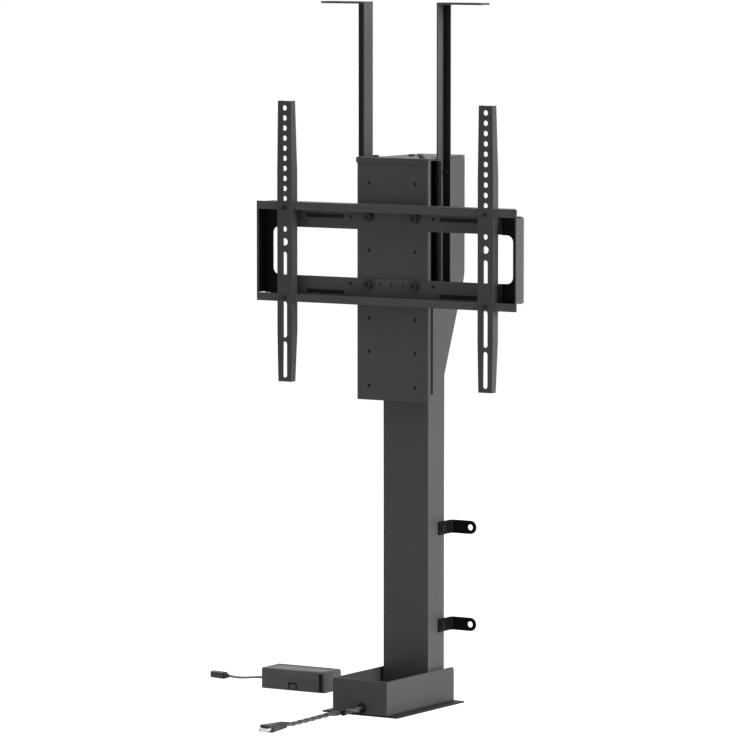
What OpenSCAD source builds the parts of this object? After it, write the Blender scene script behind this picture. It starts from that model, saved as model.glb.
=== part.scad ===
// Motorized stand that lifts a flat screen: a telescoping column on a floor plate,
// a lift carriage with a screen frame, and two poles that lift a cabinet lid.
// +Z is up, +X is to the right, the front is towards -Y.
// The origin is on the floor, under the centre of the column's front face.

/* [Floor plate and tray] */
// Width of the floor plate
floor_w = 130; // [120:1:180]
// Length of the floor plate, front to back
floor_l = 191; // [185:1:230]
// Thickness of the floor plate
floor_t = 2.5; // [2.5:0.5:5]
// Outer width of the tray that holds the column's foot
tray_w = 94.4; // [93:0.2:110]
// Height of the tray's top edge above the floor
tray_top = 53; // [38:1:64]
// Sheet thickness of the tray
tray_wall = 2; // [1.5:0.5:2.5]
// Distance that the tray reaches behind the column
tray_tail = 16; // [12:1:24]
// Radius of the tray's rear top corners
tray_corner_r = 6; // [4:1:10]
// Radius of the holes that fix the floor plate to a cabinet
fixing_hole_r = 3.25; // [2.5:0.25:4]
// Distance between the fixing holes across the plate
fixing_pitch_x = 56; // [40:1:60]
// Distance between the fixing holes along the plate
fixing_pitch_y = 80; // [60:1:85]
// Sideways place of the cable outlet in the tray's front wall
outlet_x = 4; // [-10:1:14]
// Height of the cable outlet above the floor
outlet_z = 11; // [11:1:16]

/* [Column] */
// Width of the column
column_w = 78; // [76:1:84]
// Depth of the column below the motor housing
column_d = 46; // [46:1:52]
// Height of the column's top edge
column_top = 814.5; // [790:0.5:900]
// Sheet thickness of the column
column_wall = 2; // [1.5:0.25:2.5]
// Depth of the motor housing at the top of the column
housing_d = 104; // [102:1:116]
// Height at which the motor housing starts to slant out
slant_low = 492; // [470:1:495]
// Height at which the motor housing reaches its full depth
slant_high = 638; // [610:1:640]
// Radius of the bend at the top of the slant
slant_r = 60; // [20:5:80]

/* [Mast and guides] */
// Width of the lifting mast
mast_w = 67; // [66:0.5:67]
// Depth of the lifting mast
mast_d = 35; // [34:0.5:35]
// Wall thickness of the mast
mast_wall = 2.5; // [2:0.25:2.5]
// Height of the mast's lower end at rest
mast_low = 32; // [32:1:36]
// Height of the plastic shoe round the mast's lower end
shoe_h = 40; // [30:1:50]
// Height of the plastic guide in the column's top
guide_h = 30; // [20:1:32]
// Running clearance of the plastic guides
slide_gap = 0.3; // [0.2:0.05:0.5]

/* [Drive] */
// Radius of the lead screw
screw_r = 7; // [6:0.5:8]
// Radius of the lead screw's upper journal
journal_r = 4; // [3.5:0.25:4.5]
// Radius of the lead screw's lower journal
pivot_r = 5; // [4:0.25:5.5]
// Running clearance of the journals
journal_gap = 0.05; // [0.02:0.01:0.08]
// Outer radius of the upper ball bearing
bearing_r = 11; // [10:0.5:11.5]
// Height of the upper ball bearing
bearing_h = 7; // [6:0.5:8]
// Outer radius of the lower thrust bearing
thrust_r = 13; // [12:0.5:14]
// Height of the lower thrust bearing
thrust_h = 8; // [6:0.5:9]
// Module of the gear teeth
gear_module = 1; // [1:0.05:1.05]
// Number of teeth on the screw's gear
screw_teeth = 24; // [22:1:26]
// Width of the gears
gear_h = 8; // [6:0.5:10]
// Height of the motor's gearbox
gearbox_h = 46; // [36:1:50]
// Height of the motor's can
motor_h = 88; // [70:1:90]

/* [Carriage] */
// Width of the carriage plate
plate_w = 125; // [122:1:128]
// Height of the carriage plate
plate_h = 360; // [358:1:380]
// Sheet thickness of the carriage plate
plate_t = 2; // [1.5:0.5:3]
// Distance of the plate's front face from the column
plate_reach = 38; // [36:1:44]
// Depth of the folds along the plate's sides
plate_fold = 6.5; // [4:0.5:8]
// Distance between the plate's two rows of holes
hole_pitch_x = 80; // [78:1:82]
// Distance between one pair of holes and the next
hole_pitch_z = 50; // [48:1:50]
// Number of pairs of holes in the plate
hole_pairs = 7; // [6:1:7]
// Distance of the top pair from the plate's top edge
hole_first = 38; // [34:0.5:38]
// Radius of the plate's holes
plate_hole_r = 3.2; // [2.5:0.1:3.8]
// Thickness of the cap over the column
cap_t = 3; // [2:0.5:4]
// Gap between the cap and the column's top edge
cap_gap = 0.5; // [0.3:0.1:1]
// Height of the cap's lip in front of the carriage plate
cap_lip_h = 8; // [5:1:12]
// Width of the carriage's rails
rail_w = 20; // [18:1:22]

/* [Screen frame] */
// Width of the screen frame
frame_w = 450; // [440:2:480]
// Height of the screen frame
frame_h = 149; // [146:1:154]
// Depth of the screen frame
frame_d = 22; // [20:1:26]
// Sheet thickness of the screen frame
frame_t = 2; // [1.5:0.5:2.5]
// Height of the frame's front lips
lip_h = 12; // [10:0.5:14]
// Height of the frame's window
window_h = 72; // [66:1:76]
// Width of the web at each end of the window
end_web = 16; // [12:1:20]
// Radius of the window's corners
window_r = 10; // [6:1:14]
// Distance of the frame's top from the plate's top edge
frame_drop = 68.5; // [64:0.5:69]
// Radius of the frame's bolts
bolt_r = 4; // [3:0.25:4]

/* [Screen arms] */
// Distance from an arm's middle to the frame's end at rest
arm_inset = 51; // [48:1:60]
// Width of an arm at its middle
arm_w = 26; // [24:1:28]
// Width of an arm at its ends
arm_end_w = 23; // [20:0.5:24]
// Length of an arm
arm_l = 419; // [410:1:440]
// Depth of an arm at its middle
arm_d = 15; // [13:0.5:17]
// Depth of an arm at its ends
arm_end_d = 11.5; // [9:0.5:12.5]
// Sheet thickness of an arm
arm_t = 2; // [1.5:0.25:2.5]
// Height of an arm's top above the top of the frame
arm_rise = 150; // [148:1:160]
// Radius of an arm's holes and half the width of its slots
arm_hole_r = 4; // [3:0.25:4.5]
// Distance from one arm hole to the next
arm_hole_pitch = 15; // [14:0.1:15]
// Number of holes above the frame
arm_holes = 10; // [8:1:10]

/* [Lid poles] */
// Height of the top of the lid plates
lid_top = 1047; // [1000:1:1100]
// Length of a lid plate, from the pole outwards
lid_plate_l = 76; // [60:1:90]
// Thickness of a lid plate
lid_plate_t = 3; // [2:0.5:4]
// Depth of a pole's web, front to back
pole_d = 24; // [22:1:26]
// Width of a pole's outer leg
pole_leg = 12.5; // [12:0.5:20]
// Sheet thickness of a pole
pole_t = 2; // [1.5:0.25:2.5]
// Height of a pole's lower end
pole_low = 604; // [590:1:620]
// Travel of a pole on its clamps
pole_travel = 40; // [20:1:50]
// Thickness of the strip that clamps a pole to the carriage
clamp_t = 2; // [1.5:0.5:3]

/* [Side brackets] */
// Height of the upper bracket
bracket_high = 264; // [220:1:300]
// Height of the lower bracket
bracket_low = 118; // [90:1:140]
// Length of a bracket's leg, out from the column's side
bracket_l = 44; // [35:1:60]
// Length of the bracket's leg that lies along the column's side
bracket_foot_l = 39; // [34:1:50]
// Width of a bracket's strip
bracket_w = 20; // [16:1:24]
// Thickness of a bracket
bracket_t = 2.5; // [2:0.5:4]
// Radius of the hole at a bracket's end
bracket_hole_r = 4.5; // [3:0.25:5]

/* [Control box] */
// Length of the control box
control_l = 114; // [100:1:120]
// Depth of the control box
control_d = 50; // [46:1:60]
// Height of the control box
control_h = 32; // [30:1:40]
// Wall thickness of the control box
control_wall = 2; // [1.5:0.25:2.5]
// Radius of the control box's upright edges
control_r = 4; // [3:0.5:6]

/* [Cords] */
// Radius of the control box's lead
thin_cord_r = 2; // [1.5:0.25:2]
// Radius of the lead from the tray
thick_cord_r = 3.5; // [2.5:0.1:3.5]
// Radius of the motor's lead inside the column
inner_cord_r = 1.5; // [1:0.1:1.5]

/* [Hidden] */

steel_dark = "#3c3c3d";
steel_black = "#1c1c1d";
plastic_black = "#242425";
steel_bright = "#b9bcc0";
brass_tone = "#b08d4f";
board_green = "#2d6a3c";

$fn = 48;
// Overlap of a cutting tool past the face that it cuts
cut = 1;
// Clearance round a screw's shank in its hole
thread_gap = 0.05;
// Clearance round a seated ring or block
seat_gap = 0.05;

// Floor plate
floor_back = column_d + tray_tail;
floor_front = floor_back - floor_l;
fixing_y = floor_front + 58;

// Column
column_x = column_w / 2;
inner_x = column_x - column_wall;
inner_front = column_wall;
inner_back = column_d - column_wall;
housing_back = housing_d - column_wall;
slant_angle = atan((housing_d - column_d) / (slant_high - slant_low));

// Mast, centred in the column's front part
mast_x = mast_w / 2;
mast_front = (column_d - mast_d) / 2;
mast_back = mast_front + mast_d;
mast_inner_x = mast_x - mast_wall;
mast_inner_front = mast_front + mast_wall;
mast_inner_back = mast_back - mast_wall;
screw_y = (mast_inner_front + mast_inner_back) / 2;

// Heights in the column's top
cap_low = column_top + cap_gap;
cap_top = cap_low + cap_t;
guide_top = column_top - 4;
guide_low = guide_top - guide_h;
gear_low = guide_low - 25;
gear_clear = 3;
drive_t = 4;
drive_top = gear_low - gear_clear;
drive_low = drive_top - drive_t;
bearing_low = drive_low - bearing_h;
channel_low = slant_low + 35;
gear_addendum = 0.9 * gear_module;
gear_space = housing_back - 2 - screw_y - gear_addendum;
motor_teeth = floor(gear_space / gear_module - screw_teeth / 2);
motor_y = screw_y + gear_module * (screw_teeth + motor_teeth) / 2;
motor_tip_r = gear_module * motor_teeth / 2 + gear_addendum;
gearbox_r = motor_y - column_d - 1;
gearbox_low = drive_low - gearbox_h;
motor_r = gearbox_r - 2;
motor_low = gearbox_low - motor_h;
motor_screw_r = 1.5;
motor_screw_x = 0.65 * gearbox_r;
motor_screw_y = [motor_y - 0.45 * gearbox_r, motor_y + 0.45 * gearbox_r];

// Half width of the motor gear's outline at a distance from the column's front
function gear_reach(y) = sqrt(max(0, pow(motor_tip_r, 2) - pow(motor_y - y, 2)));
mast_slot_x = gear_reach(mast_back) + 1.5;
channel_slot_x = gear_reach(column_d) + 1.5;
channel_flange_d = 12;
channel_flange_low = channel_low + 45;
drive_ear_t = 2;
drive_ear_d = 22;

// Column foot
foot_top = mast_low - 2;
thrust_low = foot_top - 2 - thrust_h;
foot_screw_r = 2.5;
foot_screw_x = 26;
foot_screw_y = [column_d / 2 - 13, column_d / 2 + 13];
foot_screw_top = floor_t + 12;

// Lift nut
nut_x = 20;
nut_low = mast_low + 4;
nut_h = 32;
nut_mid = nut_low + nut_h / 2;
nut_screw_x = 13;
nut_screw_r = 2;
nut_screw_l = 8;

// Block in the mast's top and the cap's screws
mast_plug_h = 24;
cap_screw_r = 2.5;
cap_screw_x = 8;
cap_screw_y = screw_y + 5;
cap_screw_l = cap_t + 14;

// Carriage
plate_x = plate_w / 2;
plate_front = -plate_reach;
plate_back = plate_front + plate_t;
plate_low = cap_top - plate_h;
hanger_back = -1.6;
hanger_t = 3;
hanger_front = hanger_back - hanger_t;
ear_t = 2.2;
ear_depth = 12.4;
hanger_low = pole_low;
rail_t = 2.5;
rail_low = plate_low + 10;
hole_z = [for (i = [0 : hole_pairs - 1]) cap_top - hole_first - i * hole_pitch_z];
bolt_rows = [hole_z[1], hole_z[3]];
plate_bend_r = 3;
rail_screw_y = (plate_back + hanger_front) / 2;
rail_screw_l = cap_t + 6;
cap_lip_t = 1.5;

// Screen frame
frame_x = frame_w / 2;
frame_top = cap_top - frame_drop;
frame_low = frame_top - frame_h;
frame_back = plate_front;
frame_front = frame_back - frame_d;
window_x = frame_x - end_web;
window_low = (frame_top + frame_low) / 2 - window_h / 2;
window_top = window_low + window_h;
web_front = frame_back - frame_t;
washer_r = 2.1 * bolt_r;
washer_t = 1.6;
bolt_l = 18;
nut_r = 1.75 * bolt_r;
nut_t = 6;
level_slot_r = 3;
level_slot_x = [hole_pitch_x / 2 + 42, frame_x - 75];
level_slot_z = [frame_top - 20, frame_low + 16];
level_slot_depth = frame_t / 2;
frame_end_cut = 14;
small_hole_r = 2.5;
small_hole_x = hole_pitch_x / 2 + 32;

// Arms
arm_gap = 0.2;
arm_x = frame_x - arm_inset;
arm_back = frame_front - arm_gap;
arm_front = arm_back - arm_t;
arm_top = frame_top + arm_rise;
arm_low = arm_top - arm_l;
arm_hole_top = arm_top - 10.5;
arm_notch_gap = 0.3;
arm_lock_r = 3;
arm_slot_l = 54;
arm_slot_pitch = 60;
arm_slot_z = [arm_low + 33, arm_low + 33 + arm_slot_pitch];

// Lid poles
pole_gap = 0.2;
pole_x = plate_x + pole_gap;
pole_front = -16;
pole_back = pole_front + pole_d;
pole_leg_y = -1;
pole_turned_leg_y = pole_front + pole_back - pole_leg_y - pole_t;
pole_screw_r = 2;
pole_screw_y = -12.75;
pole_screw_z = [pole_low + 30, pole_low + 150];
pole_slot_r = pole_screw_r + 0.3;
pole_stop_r = 2;
pole_stop_x = pole_x + pole_t + clamp_t + 2 * pole_stop_r;
pole_stop_z = column_top - 16;
clamp_front = pole_front - 2;
clamp_back = -9.5;
clamp_top = cap_top - 4;
lid_screw_r = 2.5;
lid_screw_x = [pole_x + 30, pole_x + 62];

// Side brackets
bracket_front = 28;
bracket_back = bracket_front + bracket_foot_l;
bracket_bend_r = 6;
bracket_screw_r = 2.5;
bracket_screw_y = bracket_front + 9;

// Control box
control_left = -275;
control_front = 26;
control_split = 16;
control_right = control_left + control_l;
control_back = control_front + control_d;
control_mid = control_left + control_l / 2;
board_low = 8;
board_t = 1.6;
board_edge = 4;
control_gland_y = 51;
control_gland_z = 12;
control_gland_l = 3;
control_screw_x = [control_left + 8, control_right - 8];
control_screw_y = [control_front + 8, control_back - 8];
control_screw_r = 1.5;
control_post_r = 3.5;
port_w = 20;
port_d = 12;
port_low = 1.5;
port_top = 11.5;

// Cords
gland_l = 4;
gland_r = 6;
flange_r = 8;
thin_route = [[-278, 51, 12], [-284, 51, 12], [-293, 51.8, 11.7], [-303, 54.6, 10.7],
    [-313, 58.2, 9.3], [-323, 62, 7.8], [-333, 65.5, 6.4], [-343, 68.6, 5.4], [-351, 71, 5],
    [-356, 72.6, 5], [-361, 74, 5], [-366, 75, 5]];
thick_route = [[4, -133, 11], [4, -137.5, 11], [2.1, -144, 10.6], [-3, -149.1, 9.2], [-10, -151, 7.2],
    [-17, -151, 5.4], [-24, -152.9, 4.2], [-29.1, -158, 3.7], [-31, -165, 3.5], [-31, -176, 3.5],
    [-30.2, -190, 3.5], [-29.4, -206, 3.5], [-28.8, -222, 3.5], [-28.5, -238, 3.5],
    [-28, -254, 3.5], [-27.2, -268, 3.6], [-26.4, -279, 4.6], [-26, -288, 6], [-26, -294, 6]];
motor_route = [[0, motor_y, motor_low], [0, motor_y, motor_low - 8], [3, 66.3, slant_low + 102],
    [11, 63.4, slant_low + 84], [22, 58.5, slant_low + 65], [30, 54, slant_low + 50],
    [34, 50.5, slant_low + 37], [35.1, 48.5, slant_low + 27], [35.2, 46.2, slant_low + 18],
    [35.2, 43.8, slant_low + 9], [35.2, 42.3, slant_low + 1], [35.2, 42.2, slant_low - 9],
    [35.2, 42.2, 22], [35.2, 41.4, 15.5], [35.2, 38.5, 12], [35.2, 34, 11], [35.2, 2, 11],
    [34.6, -5, 10.4], [32, -16, 7.6], [27, -30, 5], [20, -52, 4.4], [12, -80, 4.8],
    [6, -100, 7], [4.2, -112, 10.2], [4, -118, 11], [4, -123, 11]];
lead_hole_x = 35.2;
lead_hole_z = 11;
sleeve_from = [-10.5, -151, 7.07];
sleeve_to = [-16.5, -151, 5.53];
sleeve_r = 4.8;

// Plugs, measured from the end of their lead
small_plug_neck = 9;
small_plug_l = 34.6;
small_plug_w = 12;
small_plug_h = 10;
large_plug_l = 42;
large_plug_neck_w = 12;
large_plug_neck_h = 9;
large_plug_w = 18;
large_plug_h = 12;
lip_reach = 10;
tongue_reach = 15;

// Box between two corners
module block(low, high) {
    translate(low) cube([high[0] - low[0], high[1] - low[1], high[2] - low[2]]);
}

// Round bar along X, Y or Z
module bar_x(y, z, r, from, to) {
    translate([from, y, z]) rotate([0, 90, 0]) cylinder(r = r, h = to - from);
}
module bar_y(x, z, r, from, to) {
    translate([x, from, z]) rotate([-90, 0, 0]) cylinder(r = r, h = to - from);
}
module bar_z(x, y, r, from, to) {
    translate([x, y, from]) cylinder(r = r, h = to - from);
}

// Upright slot through a plate that faces the front or the side
module slot_y(x, z_low, z_high, r, from, to) {
    bar_y(x, z_low + r, r, from, to);
    bar_y(x, z_high - r, r, from, to);
    block([x - r, from, z_low + r], [x + r, to, z_high - r]);
}
module slot_x(y, z_low, z_high, r, from, to) {
    bar_x(y, z_low + r, r, from, to);
    bar_x(y, z_high - r, r, from, to);
    block([from, y - r, z_low + r], [to, y + r, z_high - r]);
}

// Level slot through a plate that faces the front
module level_slot(x_low, x_high, z, r, from, to) {
    bar_y(x_low + r, z, r, from, to);
    bar_y(x_high - r, z, r, from, to);
    block([x_low + r, from, z - r], [x_high - r, to, z + r]);
}

// Upright box with round upright edges
module round_box(low, high, r) {
    x0 = low[0];
    y0 = low[1];
    x1 = high[0];
    y1 = high[1];
    translate([0, 0, low[2]]) linear_extrude(high[2] - low[2]) {
        translate([x0 + r, y0]) square([x1 - x0 - 2 * r, y1 - y0]);
        translate([x0, y0 + r]) square([x1 - x0, y1 - y0 - 2 * r]);
        for (x = [x0 + r, x1 - r], y = [y0 + r, y1 - r]) translate([x, y]) circle(r);
    }
}

// Pan-head screw on Z, seated at the origin with its head up
module pan_screw(r, length) {
    head_h = 1.1 * r;
    difference() {
        cylinder(r = 1.8 * r, h = head_h);
        translate([0, 0, head_h / 2]) cylinder(r = 0.7 * r, h = head_h, $fn = 6);
    }
    translate([0, 0, -length]) cylinder(r = r, h = length);
}

// Points of a round bend of radius r at the corner b, on the way from a to c
function bend(a, b, c, r, steps) =
    let (u = (a - b) / norm(a - b), v = (c - b) / norm(c - b),
        half = acos(u * v) / 2,
        mid = (u + v) / norm(u + v),
        centre = b + mid * r / sin(half),
        start = b + u * r / tan(half) - centre,
        end = b + v * r / tan(half) - centre)
    [for (i = [0 : steps])
        let (t = i / steps, way = start * (1 - t) + end * t,
            sweep = 90 - half,
            f = sin((1 - t) * 2 * sweep) / sin(2 * sweep),
            g = sin(t * 2 * sweep) / sin(2 * sweep))
        centre + start * f + end * g];

// Side outline of the column, seen along X and drawn in by a wall
function column_outline(wall, z_low, z_high) =
    let (shift = wall * tan(slant_angle / 2),
        low_bend = [column_d - wall, slant_low + shift],
        high_bend = [housing_d - wall, slant_high + shift],
        top = [housing_d - wall, z_high])
    concat([[wall, z_low], [column_d - wall, z_low], low_bend],
        bend(low_bend, high_bend, top, slant_r - wall, 8),
        [top, [wall, z_high]]);

// Solid between two side faces with an outline in Y and Z
module side_solid(points, x_low, x_high) {
    translate([x_low, 0, 0]) rotate([90, 0, 90]) linear_extrude(x_high - x_low)
        polygon(points);
}

// Involute spur gear, with its tooth spaces widened a little for backlash
function involute(base, angle) =
    base * [cos(angle) + angle * PI / 180 * sin(angle), sin(angle) - angle * PI / 180 * cos(angle)];
function turned(p, angle) =
    [p[0] * cos(angle) - p[1] * sin(angle), p[0] * sin(angle) + p[1] * cos(angle)];
function tooth(teeth) =
    let (pitch = gear_module * teeth / 2,
        base = pitch * cos(20),
        tip = pitch + gear_addendum,
        root = pitch - 1.2 * gear_module,
        first = sqrt(max(0, pow(max(root, base) / base, 2) - 1)) * 180 / PI,
        last = sqrt(pow(tip / base, 2) - 1) * 180 / PI,
        at_pitch = sqrt(pow(pitch / base, 2) - 1) * 180 / PI,
        lean = at_pitch - atan(at_pitch * PI / 180),
        half = 90 / teeth - 0.08 / pitch * 180 / PI + lean,
        flank = [for (i = [0 : 4]) turned(involute(base, first + (last - first) * i / 4), -half)])
    concat([turned([root, 0], -180 / teeth * 0.8)], [turned([root, 0], -half)], flank,
        [for (i = [4 : -1 : 0]) [flank[i][0], -flank[i][1]]],
        [turned([root, 0], half)]);
module gear(teeth, height, bore, start) {
    shape = tooth(teeth);
    difference() {
        linear_extrude(height) polygon([for (i = [0 : teeth - 1], p = shape)
            turned(p, start + i * 360 / teeth)]);
        translate([0, 0, -cut]) cylinder(r = bore, h = height + 2 * cut);
    }
}

// Round tube swept along a route
function ring_at(route, i) =
    let (a = route[max(i - 1, 0)], b = route[min(i + 1, len(route) - 1)])
    (b - a) / norm(b - a);
function side_of(way) = let (s = cross(way, [0.13, 0.21, 0.97])) s / norm(s);
module cord(route, r, sides) {
    count = len(route);
    points = [for (i = [0 : count - 1])
        let (way = i == 0 ? (route[1] - route[0]) / norm(route[1] - route[0]) : ring_at(route, i),
            s = side_of(way), t = cross(s, way))
        for (k = [0 : sides - 1])
            route[i] + r * (s * cos(360 * k / sides) + t * sin(360 * k / sides))];
    walls = [for (i = [0 : count - 2], k = [0 : sides - 1])
        let (n = (k + 1) % sides)
        each [[i * sides + k, i * sides + n, (i + 1) * sides + n],
            [i * sides + k, (i + 1) * sides + n, (i + 1) * sides + k]]];
    near = [for (k = [sides - 1 : -1 : 0]) k];
    far = [for (k = [0 : sides - 1]) (count - 1) * sides + k];
    polyhedron(points, concat(walls, [near, far]));
}

// Bar from one point to another
module bar_between(a, b, r) {
    d = b - a;
    translate(a) rotate([0, acos(d[2] / norm(d)), atan2(d[1], d[0])]) cylinder(r = r, h = norm(d));
}

// Floor plate that the stand is bolted down by
module floor_plate() {
    color(steel_dark) difference() {
        block([-floor_w / 2, floor_front, 0], [floor_w / 2, floor_back, floor_t]);
        for (x = [-1, 1] * fixing_pitch_x / 2, y = [fixing_y - fixing_pitch_y / 2,
            fixing_y + fixing_pitch_y / 2]) bar_z(x, y, fixing_hole_r, -cut, floor_t + cut);
        for (x = [-1, 1] * foot_screw_x, y = foot_screw_y) {
            bar_z(x, y, foot_screw_r + thread_gap, -cut, floor_t + cut);
            translate([x, y, -seat_gap]) cylinder(r1 = foot_screw_r * 2 + seat_gap,
                r2 = foot_screw_r + thread_gap, h = foot_screw_r);
        }
    }
}

// Folded tray: front wall, two side walls and the flanges that they stand on
module foot_tray() {
    outer = tray_w / 2;
    inner = outer - tray_wall;
    color(steel_dark) {
        difference() {
            block([-outer, floor_front, floor_t], [outer, floor_front + tray_wall, tray_top]);
            bar_y(outlet_x, outlet_z, gland_r + seat_gap, floor_front - cut, floor_front + tray_wall + cut);
        }
        for (side = [-1, 1]) {
            x_low = side > 0 ? inner : -outer;
            rotate([90, 0, 90]) translate([0, 0, x_low]) linear_extrude(tray_wall) {
                difference() {
                    translate([floor_front, floor_t]) square([floor_l, tray_top - floor_t]);
                    translate([floor_back - tray_corner_r, tray_top - tray_corner_r])
                        square(tray_corner_r + cut);
                }
                translate([floor_back - tray_corner_r, tray_top - tray_corner_r])
                    circle(tray_corner_r);
            }
            x_flange = side > 0 ? inner - 5 : -inner;
            block([x_flange, floor_front + tray_wall, floor_t],
                [x_flange + 5, -2, floor_t + tray_wall]);
        }
    }
}

// Sheet-steel column with the motor housing at its top
module column_shell() {
    color(steel_dark) difference() {
        side_solid(column_outline(0, floor_t, column_top), -column_x, column_x);
        side_solid(column_outline(column_wall, floor_t - cut, column_top + cut), -inner_x, inner_x);
        bar_y(lead_hole_x, lead_hole_z, inner_cord_r + 1, -cut, column_wall + cut);
        for (z = [bracket_high, bracket_low])
            bar_x(bracket_screw_y, z, bracket_screw_r + thread_gap, inner_x - cut, column_x + cut);
    }
}

// Solid foot inside the column, with the seat of the thrust bearing
module column_foot() {
    groove_x = mast_x - 0.5;
    color(steel_black) difference() {
        block([-inner_x, inner_front, floor_t], [inner_x, inner_back, foot_top]);
        bar_z(0, screw_y, thrust_r + seat_gap, thrust_low, foot_top + cut);
        for (x = [-1, 1] * foot_screw_x, y = foot_screw_y)
            bar_z(x, y, foot_screw_r + thread_gap, floor_t - cut, foot_screw_top + 1);
        block([groove_x, inner_back - 5, 6], [inner_x + cut, inner_back + cut, foot_top + cut]);
        block([groove_x, inner_front - cut, 6], [inner_x + cut, inner_back, 16]);
    }
}

// Countersunk screws from under the floor plate into the foot
module foot_screws() {
    color(steel_bright) for (x = [-1, 1] * foot_screw_x, y = foot_screw_y) translate([x, y, 0]) {
        difference() {
            cylinder(r1 = foot_screw_r * 2, r2 = foot_screw_r, h = foot_screw_r);
            translate([0, 0, -cut]) cylinder(r = foot_screw_r * 0.6, h = cut + 1, $fn = 6);
        }
        cylinder(r = foot_screw_r, h = foot_screw_top);
    }
}

// Thrust bearing under the lead screw
module thrust_bearing() {
    color(steel_bright) difference() {
        bar_z(0, screw_y, thrust_r, thrust_low, thrust_low + thrust_h);
        bar_z(0, screw_y, pivot_r + journal_gap, thrust_low - cut, thrust_low + thrust_h + cut);
    }
}

// Plastic guide that the mast slides through
module top_guide() {
    color(plastic_black) difference() {
        block([-inner_x, inner_front, guide_low], [inner_x, column_d, guide_top]);
        block([-mast_x - slide_gap, mast_front - slide_gap, guide_low - cut],
            [mast_x + slide_gap, mast_back + slide_gap, guide_top + cut]);
    }
}

// Back wall of the mast's way through the motor housing, with the drive's window
module guide_channel() {
    window_gap = 8;
    color(steel_black) {
        difference() {
            block([-inner_x, inner_back, channel_low], [inner_x, column_d, guide_low]);
            block([-channel_slot_x, inner_back - cut, bearing_low - window_gap],
                [channel_slot_x, column_d + cut, guide_low - window_gap]);
        }
        for (x = [-inner_x, inner_x - column_wall])
            block([x, column_d, channel_flange_low],
                [x + column_wall, column_d + channel_flange_d, drive_low - drive_t]);
    }
}

// Plate across the motor housing that carries the motor and the upper bearing
module drive_plate() {
    tongue_r = bearing_r + 2;
    color(steel_black) difference() {
        union() {
            block([-inner_x, column_d, drive_low], [inner_x, housing_back, drive_top]);
            block([-tongue_r, screw_y, drive_low], [tongue_r, column_d + cut, drive_top]);
            bar_z(0, screw_y, tongue_r, bearing_low, drive_top);
            for (x = [-inner_x, inner_x - drive_ear_t])
                block([x, column_d + channel_flange_d + drive_t, drive_low - drive_ear_d],
                    [x + drive_ear_t, housing_back - drive_ear_t, drive_top]);
        }
        bar_z(0, screw_y, bearing_r + seat_gap, bearing_low - cut, drive_low);
        bar_z(0, screw_y, journal_r + 1, drive_low - cut, drive_top + cut);
        bar_z(0, motor_y, journal_r + 2, drive_low - cut, drive_top + cut);
        for (x = [-1, 1] * motor_screw_x, y = motor_screw_y) {
            bar_z(x, y, motor_screw_r + thread_gap, drive_low - cut, drive_top + cut);
            translate([x, y, drive_top - motor_screw_r]) cylinder(r1 = motor_screw_r + thread_gap,
                r2 = 2 * motor_screw_r + seat_gap, h = motor_screw_r + seat_gap);
        }
    }
}

// Ball bearing at the lead screw's upper end
module upper_bearing() {
    color(steel_bright) difference() {
        bar_z(0, screw_y, bearing_r, bearing_low, drive_low);
        bar_z(0, screw_y, journal_r + journal_gap, bearing_low - cut, drive_low + cut);
    }
}

// Motor can with its end cap
module motor() {
    color(steel_bright) {
        bar_z(0, motor_y, motor_r, motor_low + 6, gearbox_low);
        bar_z(0, motor_y, motor_r - 3, motor_low, motor_low + 6);
    }
}

// Reduction gearbox on top of the motor, hung from the drive plate
module gearbox() {
    color(steel_dark) difference() {
        bar_z(0, motor_y, gearbox_r, gearbox_low, drive_low);
        bar_z(0, motor_y, journal_r + journal_gap, gearbox_low + gearbox_h / 2, drive_low + cut);
        for (x = [-1, 1] * motor_screw_x, y = motor_screw_y)
            bar_z(x, y, motor_screw_r + thread_gap, drive_low - 7, drive_low + cut);
    }
}

// Countersunk screws that hold the gearbox
module motor_screws() {
    color(steel_bright) for (x = [-1, 1] * motor_screw_x, y = motor_screw_y) {
        bar_z(x, y, motor_screw_r, drive_low - 6, drive_top - 1);
        translate([x, y, drive_top - motor_screw_r])
            cylinder(r1 = motor_screw_r, r2 = 2 * motor_screw_r, h = motor_screw_r);
    }
}

// Motor's lead, down a corner of the column and through the tray
module motor_lead() {
    color(steel_black) cord(motor_route, inner_cord_r, 8);
}

// Gland in the tray's front wall
module outlet_gland() {
    color(plastic_black) {
        bar_y(outlet_x, outlet_z, gland_r, floor_front, floor_front + tray_wall);
        bar_y(outlet_x, outlet_z, flange_r, floor_front + tray_wall,
            floor_front + tray_wall + gland_l);
        translate([outlet_x, floor_front, outlet_z]) rotate([90, 0, 0])
            cylinder(r1 = flange_r, r2 = 0.7 * flange_r, h = gland_l);
    }
}

// Lead screw with its two journals
module lead_screw() {
    shoulder = bearing_low - 0.3;
    color(steel_bright) {
        bar_z(0, screw_y, pivot_r, thrust_low + 0.5, thrust_low + thrust_h);
        bar_z(0, screw_y, screw_r, thrust_low + thrust_h, shoulder);
        bar_z(0, screw_y, journal_r, shoulder, gear_low + gear_h + 2);
    }
}

// Small gear on the lead screw
module screw_gear() {
    color(brass_tone) translate([0, screw_y, gear_low])
        gear(screw_teeth, gear_h, journal_r + 0.02, 90);
}

// Output shaft of the gearbox
module motor_shaft() {
    shaft_low = gearbox_low + gearbox_h / 2 + 1;
    color(steel_bright) bar_z(0, motor_y, journal_r, shaft_low, gear_low + gear_h + 2);
}

// Large gear on the gearbox's shaft
module motor_gear() {
    color(plastic_black) translate([0, motor_y, gear_low])
        gear(motor_teeth, gear_h, journal_r + 0.02, -90 + 180 / motor_teeth);
}

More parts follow.
